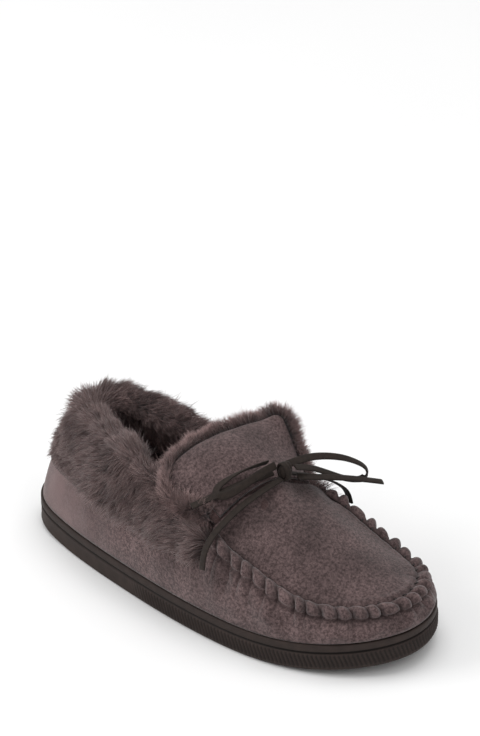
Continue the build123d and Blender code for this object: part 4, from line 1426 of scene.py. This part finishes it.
class SLIPPER_OT_lace(bpy.types.Operator):
    """Flat lace: two runs up from the collar, two loops and two tails of the bow, and the knot"""

    bl_idname = "slipper.lace"
    bl_label = "Lace bow"

    def execute(self, context):
        material = finish_of("flat_lace", lace_finish)
        width, thick = sizes().lace_width, sizes().lace_thick
        for name, (length, end, facing_way) in LACE_FACTS.items():
            line = route_line(name)
            piece = ribbon("flat_" + name, line, facing_way, width / MM, thick / MM, material)
            body = "tongue" if name in ("lace_loop_outer", "lace_tail_outer") else "shoe"
            stand_for([piece], body, "lace", name)
        self.knot(material, width / MM, thick / MM)
        return {"FINISHED"}

    def knot(self, material, width, thick):
        """Two turns of lace round a soft core: rings in the plane across the bow, the second one slanted."""
        angle = -math.atan(THROAT_SKEW)
        axis = np.array([math.cos(angle), math.sin(angle), 0.0])
        ahead = np.array([-math.sin(angle), math.cos(angle), 0.0])
        turn = np.linspace(0, 2 * math.pi, 73)[:-1]
        centre = np.array(KNOT)
        u = np.linspace(0, math.pi, 21)[:, None]
        up = np.array([0, 0, 1.0])
        lump = centre + (
            axis * 3.1 * np.cos(u)[..., None]
            + ahead * (3.5 * np.sin(u) * np.cos(turn))[..., None]
            + up * (4.8 * np.sin(u) * np.sin(turn))[..., None]
        )
        points = np.vstack([lump[1:-1].reshape(-1, 3), lump[0, :1], lump[-1, :1]])
        faces = slab_faces(len(u) - 2, len(turn))
        core = put_mesh("knot_core", points, faces, material, {"edge": np.zeros(len(points))})
        rings = []
        for shift, slant, radius in ((0.2, 0.5, 4.0), (-0.4, -1.1, 3.6)):
            line = centre + (
                axis * (shift + slant * np.sin(turn))[:, None]
                + ahead * (radius * np.cos(turn))[:, None]
                + up * ((radius + 1.3) * np.sin(turn))[:, None]
            )
            out = unit(line - centre - axis * ((line - centre) @ axis)[:, None])
            way = unit(np.roll(line, -1, 0) - np.roll(line, 1, 0))
            side = np.cross(way, out)
            spin = np.arange(14) * 2 * math.pi / 14
            wide = squared(np.cos(spin), 0.5) * width * 0.38
            deep = squared(np.sin(spin), 0.8) * thick / 2
            ring = line[:, None] + side[:, None] * wide[:, None] + out[:, None] * deep[:, None]
            faces = [grid_faces(len(turn), len(spin), True, True)]
            edge = np.tile(edge_darkening(wide, width), len(turn))
            rings.append(put_mesh("knot_turn_%d" % len(rings), ring, faces, material, {"edge": edge}))
        stand_for((core, *rings), "shoe", "lace", "lace_knot")


# ---------------------------------------------------------------- stage
def area_light(name, place, aim, size, power):
    """A square white light at place, turned to aim: size in metres, power in watts."""
    light = bpy.data.lights.new(name, "AREA")
    light.size = size
    light.energy = power
    holder = bpy.data.objects.new(name, light)
    bpy.context.scene.collection.objects.link(holder)
    holder.location = place
    way = Vector(aim) - Vector(place)
    holder.rotation_euler = way.to_track_quat("-Z", "Y").to_euler()


class SLIPPER_OT_stage(bpy.types.Operator):
    """Pale floor, soft lights and the camera"""

    bl_idname = "slipper.stage"
    bl_label = "Stage"

    def execute(self, context):
        floor_mesh = bpy.data.meshes.new("floor")
        floor_mesh.from_pydata([(-8, -8, 0), (8, -8, 0), (8, 8, 0), (-8, 8, 0)], [], [(0, 1, 2, 3)])
        floor = bpy.data.objects.new("floor", floor_mesh)
        bpy.context.scene.collection.objects.link(floor)
        material, tree, shader = new_finish("floor_paper", 0.9, specular=0.1)
        paper = ramp(tree, noise(tree, 3.0, 2.0), ((0.3, (0.93, 0.93, 0.93)), (0.7, (0.95, 0.95, 0.95))))
        tree.links.new(paper, shader.inputs["Base Color"])
        floor_mesh.materials.append(material)

        world = bpy.data.worlds.new("studio")
        world.use_nodes = True
        backdrop = world.node_tree.nodes["Background"]
        backdrop.inputs["Color"].default_value = (1.0, 1.0, 1.0, 1.0)
        backdrop.inputs["Strength"].default_value = 0.54
        context.scene.world = world
        context.scene.view_settings.view_transform = "Standard"
        area_light("key_light", (0.4, 1.6, 1.7), (0.0, 0.0, 0.03), 1.4, KEY_POWER)
        area_light("side_light", (1.4, -1.4, 1.3), (0.0, 0.0, 0.03), 1.2, SIDE_POWER)
        area_light("top_light", (-0.2, -0.1, 2.2), (0.0, 0.0, 0.0), 1.6, TOP_POWER)

        azimuth, elevation = math.radians(CAMERA_TURN), math.radians(CAMERA_RISE)
        back = Vector((math.sin(azimuth) * math.cos(elevation), -math.cos(azimuth) * math.cos(elevation),
                       math.sin(elevation)))
        right = Vector((math.cos(azimuth), math.sin(azimuth), 0.0))
        up = back.cross(right)
        camera_data = bpy.data.cameras.new("camera")
        camera_data.sensor_fit = "VERTICAL"
        camera_data.sensor_height = 36.0
        camera_data.lens = CAMERA_LENS
        camera_data.clip_end = 50.0
        camera = bpy.data.objects.new("camera", camera_data)
        bpy.context.scene.collection.objects.link(camera)
        turn_right, turn_up = 0.002164, 0.043438
        view = (-back + right * turn_right + up * turn_up).normalized()
        side = view.cross(up).normalized()
        top = side.cross(view)
        turn = Matrix((side, top, -view)).transposed()
        middle = Vector((MIDDLE_X, MIDDLE_Y, 0.0)) * MM
        camera.matrix_world = Matrix.Translation(middle + back * CAMERA_FAR) @ turn.to_4x4()
        context.scene.camera = camera
        return {"FINISHED"}


class SLIPPER_PT_panel(bpy.types.Panel):
    """Lists the slipper's sizes, colours and pieces in the sidebar"""

    bl_idname = "SLIPPER_PT_panel"
    bl_label = "Slipper"
    bl_space_type = "VIEW_3D"
    bl_region_type = "UI"
    bl_category = "Slipper"

    def draw(self, context):
        layout = self.layout
        for group in (context.scene.slipper_sizes, context.scene.slipper_colours):
            for key in group.__annotations__:
                layout.prop(group, key)
        for operator in PIECES:
            layout.operator(operator.bl_idname)


PIECES = (
    SLIPPER_OT_stage,
    SLIPPER_OT_lace,
    SLIPPER_OT_sole,
    SLIPPER_OT_side_wall,
    SLIPPER_OT_apron,
    SLIPPER_OT_stitches,
    SLIPPER_OT_tongue,
    SLIPPER_OT_cuff,
    SLIPPER_OT_linings,
    SLIPPER_OT_hidden,
)
CLASSES = (SlipperSizes, SlipperColours, *PIECES, SLIPPER_PT_panel)


def register():
    for cls in CLASSES:
        bpy.utils.register_class(cls)
    bpy.types.Scene.slipper_sizes = bpy.props.PointerProperty(type=SlipperSizes)
    bpy.types.Scene.slipper_colours = bpy.props.PointerProperty(type=SlipperColours)


def unregister():
    del bpy.types.Scene.slipper_sizes
    del bpy.types.Scene.slipper_colours
    for cls in reversed(CLASSES):
        bpy.utils.unregister_class(cls)


def main():
    """Make every piece."""
    register()
    for operator in PIECES:
        group, name = operator.bl_idname.split(".")
        getattr(getattr(bpy.ops, group), name)()


if __name__ == "__main__":
    main()
